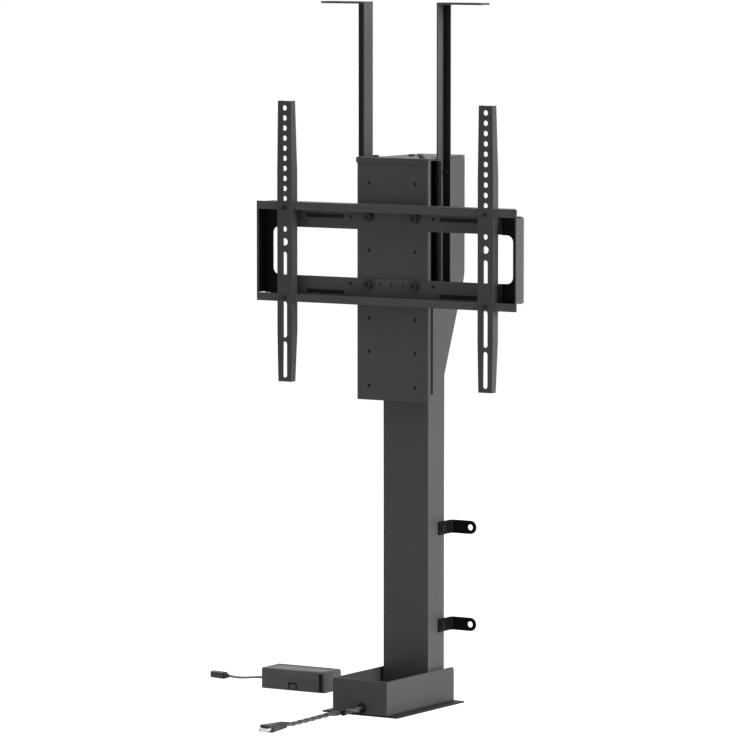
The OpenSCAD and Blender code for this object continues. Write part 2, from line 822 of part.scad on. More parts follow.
// Lifting mast: a channel with its slot to the back
module mast() {
    color(steel_dark) difference() {
        block([-mast_x, mast_front, mast_low], [mast_x, mast_back, cap_low]);
        block([-mast_inner_x, mast_inner_front, mast_low - cut],
            [mast_inner_x, mast_inner_back, cap_low + cut]);
        block([-mast_slot_x, mast_inner_back - cut, mast_low - cut],
            [mast_slot_x, mast_back + cut, cap_low + cut]);
        for (x = [-1, 1] * nut_screw_x) translate([x, mast_front, nut_mid]) rotate([-90, 0, 0]) {
            translate([0, 0, -seat_gap])
                cylinder(r1 = 2 * nut_screw_r + seat_gap, r2 = nut_screw_r + thread_gap, h = nut_screw_r);
            cylinder(r = nut_screw_r + thread_gap, h = mast_wall + cut);
        }
    }
}

// Block welded into the mast's top
module mast_plug() {
    color(steel_bright) difference() {
        block([-mast_inner_x, mast_inner_front, cap_low - mast_plug_h],
            [mast_inner_x, mast_inner_back, cap_low]);
        for (x = [-1, 1] * cap_screw_x) bar_z(x, cap_screw_y, cap_screw_r + thread_gap,
            cap_top - cap_screw_l - 2, cap_low + cut);
    }
}

// Plastic shoe round the mast's lower end, with a free corner for the motor's lead
module mast_shoe() {
    corner = mast_x + slide_gap;
    color(plastic_black) difference() {
        block([-inner_x + slide_gap, inner_front + slide_gap, mast_low],
            [inner_x - slide_gap, inner_back - slide_gap, mast_low + shoe_h]);
        block([-mast_x, mast_front, mast_low - cut], [mast_x, mast_back, mast_low + shoe_h + cut]);
        block([corner - 3, mast_back - 3, mast_low - cut],
            [inner_x + cut, inner_back + cut, mast_low + shoe_h + cut]);
    }
}

// Threaded nut block that the lead screw lifts the mast by
module lift_nut() {
    color(brass_tone) difference() {
        block([-nut_x, mast_inner_front, nut_low], [nut_x, mast_inner_back - 1, nut_low + nut_h]);
        bar_z(0, screw_y, screw_r + journal_gap, nut_low - cut, nut_low + nut_h + cut);
        for (x = [-1, 1] * nut_screw_x) bar_y(x, nut_mid, nut_screw_r + thread_gap,
            mast_inner_front - cut, mast_inner_front + nut_screw_l + 1);
    }
}

// Countersunk screws that hold the nut block in the mast
module nut_screws() {
    color(steel_bright) for (x = [-1, 1] * nut_screw_x)
        translate([x, mast_front, nut_mid]) rotate([-90, 0, 0]) {
            cylinder(r1 = 2 * nut_screw_r, r2 = nut_screw_r, h = nut_screw_r);
            cylinder(r = nut_screw_r, h = mast_wall + nut_screw_l);
        }
}

// Cap over the column and the carriage, with a lip in front of the carriage plate
module cap_plate() {
    color(steel_dark) difference() {
        union() {
            block([-plate_x, plate_front - cap_lip_t, cap_low], [plate_x, hanger_back, cap_top]);
            block([-plate_x, plate_front - cap_lip_t, cap_top - cap_lip_h],
                [plate_x, plate_front, cap_top]);
            block([-column_x, hanger_back - cut, cap_low], [column_x, housing_d, cap_top]);
        }
        for (x = [-1, 1] * cap_screw_x)
            bar_z(x, cap_screw_y, cap_screw_r + thread_gap, cap_low - cut, cap_top + cut);
        for (x = [-1, 1] * hole_pitch_x / 2)
            bar_z(x, rail_screw_y, cap_screw_r + thread_gap, cap_low - cut, cap_top + cut);
    }
}

// Screws through the cap: two into the mast and two into the carriage's rails
module cap_screws() {
    color(steel_bright) {
        for (x = [-1, 1] * cap_screw_x) translate([x, cap_screw_y, cap_top])
            pan_screw(cap_screw_r, cap_screw_l);
        for (x = [-1, 1] * hole_pitch_x / 2) translate([x, rail_screw_y, cap_top])
            pan_screw(cap_screw_r, rail_screw_l);
    }
}

// Back channel of the carriage, with the slotted ears that the poles are clamped to
module hanger() {
    ear_in = plate_x - ear_t;
    color(steel_black) difference() {
        union() {
            block([-plate_x, hanger_front, hanger_low], [plate_x, hanger_back, cap_low]);
            for (x = [-plate_x, ear_in])
                block([x, hanger_front - ear_depth, hanger_low], [x + ear_t, hanger_front, cap_low]);
        }
        for (z = pole_screw_z, side = [-1, 1]) slot_x(pole_screw_y, z - pole_slot_r,
            z + pole_travel + pole_slot_r, pole_slot_r,
            side > 0 ? ear_in - cut : -plate_x - cut, side > 0 ? plate_x + cut : -ear_in + cut);
    }
}

// Upright box rail between the carriage plate and the hanger
module rail(side) {
    centre = side * hole_pitch_x / 2;
    color(steel_black) difference() {
        block([centre - rail_w / 2, plate_back, rail_low], [centre + rail_w / 2, hanger_front, cap_low]);
        block([centre - rail_w / 2 + rail_t, plate_back + rail_t, rail_low - cut],
            [centre + rail_w / 2 - rail_t, hanger_front - rail_t, cap_low - 8]);
        for (z = hole_z) {
            framed = z == bolt_rows[0] || z == bolt_rows[1];
            bar_y(centre, z, (framed ? bolt_r : plate_hole_r) + thread_gap,
                plate_back - cut, plate_back + rail_t + cut);
        }
        bar_z(centre, rail_screw_y, cap_screw_r + thread_gap, cap_top - rail_screw_l - 1, cap_low + cut);
    }
}
module left_rail() { rail(-1); }
module right_rail() { rail(1); }

// Front plate of the carriage, with folded sides and two rows of holes
module carriage_plate() {
    back = plate_front + plate_fold + plate_bend_r;
    color(steel_dark) difference() {
        round_box([-plate_x, plate_front, plate_low], [plate_x, back, cap_low], plate_bend_r);
        block([-plate_x + plate_t, plate_back, plate_low - cut],
            [plate_x - plate_t, back + cut, cap_low + cut]);
        block([-plate_x - cut, plate_front + plate_fold, plate_low - cut],
            [plate_x + cut, back + cut, cap_low + cut]);
        for (x = [-1, 1] * hole_pitch_x / 2, z = hole_z) {
            framed = z == bolt_rows[0] || z == bolt_rows[1];
            bar_y(x, z, (framed ? bolt_r : plate_hole_r) + thread_gap,
                plate_front - cut, plate_back + cut);
        }
    }
}

// Pressed frame that the screen's arms hang on
module screen_frame() {
    end_low = frame_low + lip_h;
    end_top = frame_top - lip_h;
    color(steel_dark) difference() {
        union() {
            block([-frame_x, web_front, frame_low], [frame_x, frame_back, frame_top]);
            for (z = [frame_low, frame_top - frame_t])
                block([-frame_x, frame_front, z], [frame_x, frame_back, z + frame_t]);
            block([-frame_x, frame_front, end_top], [frame_x, frame_front + frame_t, frame_top]);
            block([-frame_x, frame_front, frame_low], [frame_x, frame_front + frame_t, end_low]);
            for (x = [-frame_x, frame_x - frame_t])
                block([x, frame_front, end_low - 0.01], [x + frame_t, frame_back, end_top + 0.01]);
        }
        block([-window_x, web_front - cut, window_low + window_r],
            [window_x, frame_back + cut, window_top - window_r]);
        block([-window_x + window_r, web_front - cut, window_low],
            [window_x - window_r, frame_back + cut, window_top]);
        for (x = [-1, 1] * (window_x - window_r), z = [window_low + window_r, window_top - window_r])
            bar_y(x, z, window_r, web_front - cut, frame_back + cut);
        for (x = [-1, 1] * hole_pitch_x / 2, z = bolt_rows)
            bar_y(x, z, bolt_r + thread_gap, web_front - cut, frame_back + cut);
        for (side = [-1, 1], z = level_slot_z)
            level_slot(side > 0 ? level_slot_x[0] : -level_slot_x[1],
                side > 0 ? level_slot_x[1] : -level_slot_x[0], z, level_slot_r,
                web_front - cut, web_front + level_slot_depth);
        // Corners behind the lips' ends, open to the side
        for (side = [-1, 1], z = [frame_low - cut, end_top]) {
            x_low = side > 0 ? frame_x - frame_end_cut : -frame_x - cut;
            block([x_low, frame_front + frame_t, z],
                [x_low + frame_end_cut + cut, frame_back + cut, z + lip_h + cut]);
        }
        for (x = [-1, 1] * small_hole_x, z = bolt_rows)
            bar_y(x, z, small_hole_r, web_front - cut, frame_back + cut);
        for (x = [-1, 0, 1] * hole_pitch_x / 4)
            bar_y(x, bolt_rows[1], small_hole_r, web_front - cut, frame_back + cut);
    }
}

// Bolts, washers and nuts that hold the frame on the carriage
module frame_bolts() {
    color(steel_bright) for (x = [-1, 1] * hole_pitch_x / 2, z = bolt_rows)
        translate([x, web_front - washer_t, z]) rotate([90, 0, 0]) pan_screw(bolt_r, bolt_l);
}
module frame_washers() {
    color(steel_bright) for (x = [-1, 1] * hole_pitch_x / 2, z = bolt_rows) difference() {
        bar_y(x, z, washer_r, web_front - washer_t, web_front);
        bar_y(x, z, bolt_r + thread_gap, web_front - washer_t - cut, web_front + cut);
    }
}
module frame_nuts() {
    nut_y = plate_back + rail_t;
    color(steel_bright) for (x = [-1, 1] * hole_pitch_x / 2, z = bolt_rows) difference() {
        translate([x, nut_y, z]) rotate([-90, 0, 0]) cylinder(r = nut_r, h = nut_t, $fn = 6);
        bar_y(x, z, bolt_r + thread_gap, nut_y - cut, nut_y + nut_t + cut);
    }
}

// Side outline of an arm: deeper at the frame than at its ends
function arm_outline() = [[arm_front, arm_low], [arm_front + arm_end_d, arm_low],
    [arm_front + arm_d, frame_low - 45], [arm_front + arm_d, frame_top + 45],
    [arm_front + arm_end_d, arm_top], [arm_front, arm_top]];

// Front outline of an arm, drawn in by a wall: a little narrower at its ends
function arm_face(wall) =
    let (half = arm_w / 2 - wall, end = arm_end_w / 2 - wall)
    [[-end, arm_low - wall], [end, arm_low - wall], [half, frame_low - 45], [half, frame_top + 45],
        [end, arm_top + wall], [-end, arm_top + wall], [-half, frame_top + 45], [-half, frame_low - 45]];

// Upright channel that hooks behind the frame's two lips and carries the screen
module arm(centre) {
    half = arm_w / 2;
    hole_count = floor((arm_hole_top - frame_top) / arm_hole_pitch) + 1;
    used = min(arm_holes, hole_count);
    color(steel_dark) difference() {
        intersection() {
            side_solid(arm_outline(), centre - half, centre + half);
            translate([centre, arm_front + arm_d + cut, 0]) rotate([90, 0, 0])
                linear_extrude(arm_d + 2 * cut) polygon(arm_face(0));
        }
        translate([centre, arm_front + arm_d + cut, 0]) rotate([90, 0, 0])
            linear_extrude(arm_d + cut - arm_t) polygon(arm_face(arm_t));
        // Notches that clear the frame's flanges and leave a hook behind each lip
        for (z = [frame_low, frame_top - frame_t])
            block([centre - half - cut, arm_back, z - arm_notch_gap],
                [centre + half + cut, arm_front + arm_d + cut, z + frame_t + arm_notch_gap]);
        for (z = [frame_low - arm_notch_gap, frame_top - lip_h - arm_notch_gap])
            block([centre - half - cut, arm_back, z],
                [centre + half + cut, frame_front + frame_t + arm_notch_gap,
                    z + lip_h + 2 * arm_notch_gap]);
        for (i = [0 : used - 1])
            bar_y(centre, arm_hole_top - i * arm_hole_pitch, arm_hole_r, arm_front - cut, arm_back + cut);
        bar_y(centre, frame_top - 41, arm_hole_r, arm_front - cut, arm_back + cut);
        bar_y(centre, frame_top - 60, arm_hole_r + 1.5, arm_front - cut, arm_back + cut);
        slot_y(centre, frame_low + 38, frame_low + 74, arm_hole_r, arm_front - cut, arm_back + cut);
        for (z = arm_slot_z)
            slot_y(centre, z - arm_slot_l / 2, z + arm_slot_l / 2, arm_hole_r,
                arm_front - cut, arm_back + cut);
        for (z = [frame_top - lip_h / 2 - 3, frame_low + lip_h / 2])
            bar_y(centre, z, arm_lock_r + thread_gap, arm_front - cut, arm_back + cut);
    }
}

// Socket screws that lock an arm on the lips
module arm_screws(centre) {
    color(steel_black) for (z = [frame_top - lip_h / 2 - 3, frame_low + lip_h / 2])
        translate([centre, arm_front - 2.5, z]) rotate([-90, 0, 0]) difference() {
            cylinder(r = arm_lock_r, h = 2.5 + arm_t + arm_gap);
            translate([0, 0, -cut]) cylinder(r = 1.7, h = 3, $fn = 6);
        }
}
module left_arm() { arm(-arm_x); }
module left_arm_screws() { arm_screws(-arm_x); }
module right_arm() { arm(arm_x); }
module right_arm_screws() { arm_screws(arm_x); }

// Right lid pole: an upright tee section, with its leg at a given depth and a lid plate on top
module lid_pole(leg_y) {
    plate_low_z = lid_top - lid_plate_t;
    leg_x = pole_x + pole_t + pole_leg;
    color(steel_dark) difference() {
        union() {
            block([pole_x, pole_front, pole_low], [pole_x + pole_t, pole_back, plate_low_z]);
            block([pole_x + pole_t, leg_y, pole_low], [leg_x, leg_y + pole_t, plate_low_z]);
            block([pole_x, pole_front, plate_low_z], [pole_x + lid_plate_l, pole_back, lid_top]);
        }
        for (z = pole_screw_z)
            bar_x(pole_screw_y, z, pole_screw_r + thread_gap, pole_x - cut, pole_x + pole_t + cut);
        bar_y(pole_stop_x, pole_stop_z, pole_stop_r + thread_gap, leg_y - cut, leg_y + pole_t + cut);
        for (x = lid_screw_x)
            bar_z(x, (pole_front + pole_back) / 2, lid_screw_r, plate_low_z - cut, lid_top + cut);
    }
}

// Strip that clamps the right pole's front part against the carriage's ear
module clamp_strip() {
    clamp_x = pole_x + pole_t;
    color(steel_black) difference() {
        block([clamp_x, clamp_front, pole_low], [clamp_x + clamp_t, clamp_back, clamp_top]);
        for (z = pole_screw_z)
            bar_x(pole_screw_y, z, pole_screw_r + thread_gap, clamp_x - cut, clamp_x + clamp_t + cut);
    }
}

// Clamp screws of the right pole, and the small screw in its outer leg
module pole_screws(leg_y) {
    color(steel_bright) {
        for (z = pole_screw_z)
            translate([plate_x - ear_t, pole_screw_y, z]) rotate([0, -90, 0])
                pan_screw(pole_screw_r, ear_t + pole_gap + pole_t + clamp_t);
        translate([pole_stop_x, leg_y, pole_stop_z]) rotate([90, 0, 0])
            pan_screw(pole_stop_r, 2 * pole_t);
    }
}

// Both poles are the same section, and the left one is turned round
module left_lid_pole() { mirror([1, 0, 0]) lid_pole(pole_turned_leg_y); }
module left_clamp_strip() { mirror([1, 0, 0]) clamp_strip(); }
module left_pole_screws() { mirror([1, 0, 0]) pole_screws(pole_turned_leg_y); }
module right_lid_pole() { lid_pole(pole_leg_y); }
module right_clamp_strip() { clamp_strip(); }
module right_pole_screws() { pole_screws(pole_leg_y); }

// Strip bent to a right angle: one leg along the column's side, one round-ended leg outwards
module side_bracket(z) {
    tip_x = column_x + bracket_l;
    half = bracket_w / 2;
    bend_x = column_x + bracket_bend_r;
    bend_y = bracket_back - bracket_bend_r;
    color(steel_black) difference() {
        union() {
            block([column_x, bracket_front, z - half], [column_x + bracket_t, bend_y, z + half]);
            difference() {
                bar_z(bend_x, bend_y, bracket_bend_r, z - half, z + half);
                bar_z(bend_x, bend_y, bracket_bend_r - bracket_t, z - half - cut, z + half + cut);
                block([bend_x, bend_y - bracket_bend_r - cut, z - half - cut],
                    [bend_x + bracket_bend_r + cut, bend_y + bracket_bend_r + cut, z + half + cut]);
                block([bend_x - bracket_bend_r - cut, bend_y - bracket_bend_r - cut, z - half - cut],
                    [bend_x + cut, bend_y, z + half + cut]);
            }
            block([bend_x, bracket_back - bracket_t, z - half], [tip_x - half, bracket_back, z + half]);
            bar_y(tip_x - half, z, half, bracket_back - bracket_t, bracket_back);
        }
        bar_y(tip_x - half, z, bracket_hole_r, bracket_back - bracket_t - cut, bracket_back + cut);
        bar_x(bracket_screw_y, z, bracket_screw_r + thread_gap,
            column_x - cut, column_x + bracket_t + cut);
    }
}
module upper_bracket() { side_bracket(bracket_high); }
module lower_bracket() { side_bracket(bracket_low); }

// Screws that hold the brackets to the column
module bracket_screws() {
    color(steel_bright) for (z = [bracket_high, bracket_low])
        translate([column_x + bracket_t, bracket_screw_y, z]) rotate([0, 90, 0])
            pan_screw(bracket_screw_r, bracket_t + column_wall - 0.2);
}

// Lower half of the control box
module control_base() {
    color(plastic_black) difference() {
        round_box([control_left, control_front, 0], [control_right, control_back, control_split],
            control_r);
        round_box([control_left + control_wall, control_front + control_wall, control_wall],
            [control_right - control_wall, control_back - control_wall, control_split + cut],
            control_r - control_wall + 0.5);
        block([control_mid - port_w / 2, control_front - cut, port_low],
            [control_mid + port_w / 2, control_front + control_wall + cut, port_top]);
        bar_x(control_gland_y, control_gland_z, 2.5 + seat_gap, control_left - cut,
            control_left + control_wall + cut);
        for (x = control_screw_x, y = control_screw_y)
            bar_z(x, y, control_screw_r + thread_gap, -cut, control_wall + cut);
    }
    color(plastic_black) for (x = control_screw_x, y = control_screw_y) difference() {
        bar_z(x, y, control_post_r, control_wall - 0.01, board_low);
        bar_z(x, y, control_screw_r + thread_gap, 0, board_low + cut);
    }
}

// Upper half of the control box
module control_lid() {
    color(plastic_black) difference() {
        round_box([control_left, control_front, control_split], [control_right, control_back, control_h],
            control_r);
        round_box([control_left + control_wall, control_front + control_wall, control_split - cut],
            [control_right - control_wall, control_back - control_wall, control_h - control_wall],
            control_r - control_wall + 0.5);
    }
}

// Circuit board on the base's posts
module control_board() {
    color(board_green) difference() {
        block([control_left + board_edge, control_front + board_edge, board_low],
            [control_right - board_edge, control_back - board_edge, board_low + board_t]);
        block([control_mid - port_w / 2 - 1, control_front, board_low - cut],
            [control_mid + port_w / 2 + 1, control_front + port_d + 1, board_low + board_t + cut]);
        for (x = control_screw_x, y = control_screw_y)
            bar_z(x, y, control_screw_r + thread_gap, board_low - cut, board_low + board_t + cut);
    }
}

// Large parts on the board: relays, a coil and capacitors
module board_parts() {
    top = board_low + board_t;
    relay_w = 15;
    color(steel_black) {
        for (x = [control_left + 20, control_left + 40])
            block([x, control_front + relay_w, top],
                [x + relay_w, control_front + 2 * relay_w, top + relay_w]);
        for (x = [control_right - 20, control_right - 34])
            bar_z(x, control_back - relay_w, relay_w / 3, top, top + 1.1 * relay_w);
        block([control_right - 40, control_front + relay_w, top],
            [control_right - relay_w, control_front + 1.6 * relay_w, top + relay_w / 2]);
    }
}

// Socket for the motor's lead in the box's front
module control_port() {
    color(steel_black) difference() {
        block([control_mid - port_w / 2 + seat_gap, control_front, control_wall],
            [control_mid + port_w / 2 - seat_gap, control_front + port_d, port_top - 0.5]);
        block([control_mid - port_w / 2 + 2, control_front - cut, control_wall + 2],
            [control_mid + port_w / 2 - 2, control_front + port_d - 3, port_top - 2]);
    }
}

// Screws from under the box through its posts and the board
module control_screws() {
    color(steel_bright)
    for (x = control_screw_x, y = control_screw_y) {
        bar_z(x, y, control_screw_r, 0.3, board_low + board_t);
        bar_z(x, y, 1.8 * control_screw_r, board_low + board_t, board_low + board_t + control_screw_r);
    }
}

// Gland where the lead leaves the control box
module control_gland() {
    color(plastic_black) {
        bar_x(control_gland_y, control_gland_z, 2.5, control_left, control_left + control_wall);
        bar_x(control_gland_y, control_gland_z, 3.6, control_left - control_gland_l, control_left);
    }
}

// Short lead of the control box and its plug
module control_lead() {
    color(steel_black) cord(thin_route, thin_cord_r, 10);
}
module control_plug() {
    end = thin_route[len(thin_route) - 1];
    way = end - thin_route[len(thin_route) - 2];
    half = small_plug_w / 2;
    color(plastic_black) translate(end) rotate([0, 0, atan2(way[1], way[0])]) {
        rotate([0, 90, 0]) cylinder(r1 = thin_cord_r + 0.6, r2 = 0.9 * small_plug_h / 2,
            h = small_plug_neck);
        round_box([small_plug_neck, -half, -small_plug_h / 2], [small_plug_l, half, small_plug_h / 2],
            half / 2);
    }
}

// Lead that leaves the tray, with its sleeve and plug
module tray_lead() {
    color(steel_black) cord(thick_route, thick_cord_r, 10);
}
module lead_sleeve() {
    way = (sleeve_to - sleeve_from) / norm(sleeve_to - sleeve_from);
    color(plastic_black) difference() {
        bar_between(sleeve_from, sleeve_to, sleeve_r);
        bar_between(sleeve_from - way, sleeve_to + way, thick_cord_r + 0.1);
    }
}
module tray_plug() {
    end = thick_route[len(thick_route) - 1];
    half = large_plug_w / 2;
    color(plastic_black) translate(end) {
        hull() {
            block([-large_plug_neck_w / 2, -1, -large_plug_neck_h / 2],
                [large_plug_neck_w / 2, 0, large_plug_neck_h / 2]);
            block([-half, -large_plug_l, -large_plug_h / 2], [half, 1 - large_plug_l, large_plug_h / 2]);
        }
        block([-half, -large_plug_l - lip_reach, large_plug_h / 6],
            [half, -large_plug_l, large_plug_h / 2]);
    }
}
module tray_plug_tip() {
    end = thick_route[len(thick_route) - 1];
    half = 0.36 * large_plug_w;
    color(steel_bright) translate(end) block([-half, -large_plug_l - tongue_reach, -large_plug_h / 4],
        [half, -large_plug_l, large_plug_h / 6]);
}

floor_plate();
foot_tray();
column_shell();
column_foot();
foot_screws();
thrust_bearing();
top_guide();
guide_channel();
drive_plate();
upper_bearing();
motor();
gearbox();
motor_screws();
motor_lead();
outlet_gland();
lead_screw();
screw_gear();
motor_shaft();
motor_gear();
mast();
mast_plug();
mast_shoe();
lift_nut();
nut_screws();
cap_plate();
cap_screws();
hanger();
left_rail();
right_rail();
carriage_plate();
screen_frame();
frame_bolts();
frame_washers();
frame_nuts();
left_arm();
left_arm_screws();
right_arm();
right_arm_screws();
left_lid_pole();
left_clamp_strip();
left_pole_screws();
right_lid_pole();
right_clamp_strip();
right_pole_screws();
upper_bracket();
lower_bracket();
bracket_screws();
control_base();
control_lid();
control_board();
board_parts();
control_port();
control_screws();
control_gland();
control_lead();
control_plug();
tray_lead();
lead_sleeve();
tray_plug();
tray_plug_tip();
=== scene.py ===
import math

import bmesh
import bpy
from mathutils import Matrix, Vector


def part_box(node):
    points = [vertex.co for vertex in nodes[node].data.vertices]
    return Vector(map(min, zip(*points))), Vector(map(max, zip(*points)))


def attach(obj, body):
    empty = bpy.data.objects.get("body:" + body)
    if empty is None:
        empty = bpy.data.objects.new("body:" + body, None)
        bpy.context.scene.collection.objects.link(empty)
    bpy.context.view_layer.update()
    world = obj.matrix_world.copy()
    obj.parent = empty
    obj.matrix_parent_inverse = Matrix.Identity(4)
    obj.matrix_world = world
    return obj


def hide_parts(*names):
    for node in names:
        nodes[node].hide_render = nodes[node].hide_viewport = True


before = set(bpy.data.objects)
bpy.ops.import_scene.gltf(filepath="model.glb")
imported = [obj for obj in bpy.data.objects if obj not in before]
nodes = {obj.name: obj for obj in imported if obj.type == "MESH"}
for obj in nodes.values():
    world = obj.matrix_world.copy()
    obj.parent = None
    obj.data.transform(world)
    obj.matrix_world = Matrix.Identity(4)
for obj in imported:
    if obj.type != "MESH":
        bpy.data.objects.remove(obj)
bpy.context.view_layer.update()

# Camera: a long lens from the front right, a little above the frame's height,
# so that the column's front and right faces both show and uprights stay upright.
camera_turn = math.radians(32.051)
camera_drop = math.radians(5.055)
camera_aim = Vector((-0.0663, 0.0, 0.5012))
camera_reach = 8.0285
camera_back = Vector((math.sin(camera_turn) * math.cos(camera_drop),
                      -math.cos(camera_turn) * math.cos(camera_drop), math.sin(camera_drop)))
camera = bpy.data.objects.new("camera", bpy.data.cameras.new("camera"))
camera.data.lens = 263.17
camera.data.sensor_width = 36
camera.location = camera_aim + camera_back * camera_reach
camera.rotation_euler = (-camera_back).to_track_quat("-Z", "Y").to_euler()
bpy.context.scene.collection.objects.link(camera)
bpy.context.scene.camera = camera


# Lead of the tray: a 7 mm limp lead in a spiral-wrapped sheath, out of the gland in the
# tray's front wall, round to the left and along the floor to its plug.
def new_finish(name):
    """New finish: itself, its node tree, its shader, and the place on the piece."""
    finish = bpy.data.materials.new(name)
    finish.use_nodes = True
    tree = finish.node_tree
    place = tree.nodes.new("ShaderNodeTexCoord").outputs["Object"]
    return finish, tree, tree.nodes["Principled BSDF"], place


def speckle(tree, place, scale, detail):
    """Noise from 0 to 1 over the place."""
    noise = tree.nodes.new("ShaderNodeTexNoise")
    noise.inputs["Scale"].default_value = scale
    noise.inputs["Detail"].default_value = detail
    tree.links.new(place, noise.inputs["Vector"])
    return noise.outputs["Fac"]


def tint(tree, shader, level, stops, shades):
    """Colours the shader from one shade to another while the level passes the two stops."""
    tone = tree.nodes.new("ShaderNodeValToRGB")
    for knot, stop, shade in zip(tone.color_ramp.elements, stops, shades):
        knot.position = stop
        knot.color = (*shade, 1)
    tree.links.new(level, tone.inputs["Fac"])
    tree.links.new(tone.outputs["Color"], shader.inputs["Base Color"])


def vary(tree, level, socket, low, high):
    """Drives a socket from low to high as the level goes from 0 to 1."""
    span = tree.nodes.new("ShaderNodeMapRange")
    span.inputs["To Min"].default_value = low
    span.inputs["To Max"].default_value = high
    tree.links.new(level, span.inputs["Value"])
    tree.links.new(span.outputs["Result"], socket)


def roughen(tree, shader, level, strength, depth):
    """Raises the level as a fine relief on the surface."""
    bump = tree.nodes.new("ShaderNodeBump")
    bump.inputs["Strength"].default_value = strength
    bump.inputs["Distance"].default_value = depth
    tree.links.new(level, bump.inputs["Height"])
    tree.links.new(bump.outputs["Normal"], shader.inputs["Normal"])


def cover(tree, shader, share, colour):
    """Lays a colour over the shader's own where the share is 1."""
    mix = tree.nodes.new("ShaderNodeMix")
    mix.data_type = "RGBA"
    amount, under, over, result = mix.inputs[0], mix.inputs[6], mix.inputs[7], mix.outputs[2]
    over.default_value = (*colour, 1)
    tree.links.new(share, amount)
    tree.links.new(shader.inputs["Base Color"].links[0].from_socket, under)
    tree.links.new(result, shader.inputs["Base Color"])


def soft_black(name, colour, rough, grain, depth, gloss=0.3):
    """Rubber or moulded plastic: a dark body with a fine grain and dusty, paler patches."""
    finish, tree, shader, place = new_finish(name)
    shader.inputs["Specular IOR Level"].default_value = gloss
    dust = speckle(tree, place, 45, 6)
    tint(tree, shader, dust, (0.35, 0.75), ([c * 0.85 for c in colour], [c * 1.35 for c in colour]))
    vary(tree, dust, shader.inputs["Roughness"], rough - 0.08, rough + 0.1)
    roughen(tree, shader, speckle(tree, place, grain, 3), 0.35, depth)
    return finish


def coat(piece, *finishes):
    """Puts the finishes in the piece's material slots, in place of what is there."""
    piece.data.materials.clear()
    for finish in finishes:
        piece.data.materials.append(finish)


def eased(route, step):
    """Points every step or so along a smooth curve through the route's points."""
    stops = [Vector(p) for p in route]
    stops = [stops[0] * 2 - stops[1]] + stops + [stops[-1] * 2 - stops[-2]]
    line = []
    for a, b, c, d in zip(stops, stops[1:], stops[2:], stops[3:]):
        count = max(2, round((c - b).length / step))
        for i in range(count):
            t = i / count
            line.append(0.5 * (2 * b + (c - a) * t + (2 * a - 5 * b + 4 * c - d) * t ** 2
                               + (3 * b - a - 3 * c + d) * t ** 3))
    return line + [stops[-2]]


def tube(name, line, radius, sides, rib=0.0, pitch=1.0):
    """Closed tube along a line of points, with a spiral rib of that height and pitch."""
    mesh = bmesh.new()
    crest = mesh.verts.layers.float.new("crest")
    side = (line[1] - line[0]).orthogonal().normalized()
    run = 0.0
    rings = []
    for i, point in enumerate(line):
        way = (line[min(i + 1, len(line) - 1)] - line[max(i - 1, 0)]).normalized()
        side = (side - way * side.dot(way)).normalized()
        across = way.cross(side)
        run += (point - line[i - 1]).length if i else 0.0
        ring = []
        for k in range(sides):
            turn = 2 * math.pi * k / sides
            wave = 0.5 + 0.5 * math.cos(2 * turn - 2 * math.pi * run / pitch)
            reach = radius - rib * (1 - wave) ** 2
            knot = mesh.verts.new(point + reach * (side * math.cos(turn) + across * math.sin(turn)))
            knot[crest] = wave
            ring.append(knot)
        rings.append(ring)
    for a, b in zip(rings, rings[1:]):
        for k in range(sides):
            n = (k + 1) % sides
            mesh.faces.new((a[k], a[n], b[n], b[k]))
    mesh.faces.new(list(reversed(rings[0])))
    mesh.faces.new(rings[-1])
    data = bpy.data.meshes.new(name)
    mesh.to_mesh(data)
    mesh.free()
    for face in data.polygons:
        face.use_smooth = True
    piece = bpy.data.objects.new(name, data)
    bpy.context.scene.collection.objects.link(piece)
    return piece


lead_rubber = soft_black("lead_rubber", (0.022, 0.022, 0.023), 0.5, 900, 0.0002)
tray_route = [(0.004, -0.133, 0.011), (0.004, -0.1375, 0.011), (0.0021, -0.144, 0.0106),
              (-0.003, -0.1491, 0.0092), (-0.010, -0.151, 0.0072), (-0.017, -0.151, 0.0054),
              (-0.024, -0.1529, 0.0042), (-0.0291, -0.158, 0.0037), (-0.031, -0.165, 0.0035),
              (-0.031, -0.176, 0.0035), (-0.0302, -0.190, 0.0035), (-0.0294, -0.206, 0.0035),
              (-0.0288, -0.222, 0.0035), (-0.0285, -0.238, 0.0035), (-0.028, -0.254, 0.0035),
              (-0.0272, -0.268, 0.0036), (-0.0264, -0.279, 0.0046), (-0.026, -0.288, 0.006),
              (-0.026, -0.294, 0.006)]
tray_line = eased(tray_route, 0.0007)
tray_lead = tube("tray_lead_sheath", tray_line, 0.0035, 20, rib=0.0011, pitch=0.019)
sheath_rubber = soft_black("sheath_rubber", (0.022, 0.022, 0.023), 0.42, 900, 0.0002, 0.5)
worn_grey = (0.13, 0.13, 0.13)
tree = sheath_rubber.node_tree
ribs = tree.nodes.new("ShaderNodeAttribute")
ribs.attribute_name = "crest"
rub = tree.nodes.new("ShaderNodeMapRange")
rub.inputs["From Min"].default_value = 0.35
rub.inputs["To Max"].default_value = 0.45
tree.links.new(ribs.outputs["Fac"], rub.inputs["Value"])
cover(tree, tree.nodes["Principled BSDF"], rub.outputs["Result"], worn_grey)
coat(tray_lead, sheath_rubber)
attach(tray_lead, "stand")
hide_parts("tray_lead")


# Plug of the tray's lead: a moulded wedge with grip grooves and a lip over its
# metal contact sleeve, moulded onto the end of the lead.
def deselect():
    """Leaves edit mode and selects nothing."""
    if bpy.context.mode != "OBJECT":
        bpy.ops.object.mode_set(mode="OBJECT")
    bpy.ops.object.select_all(action="DESELECT")


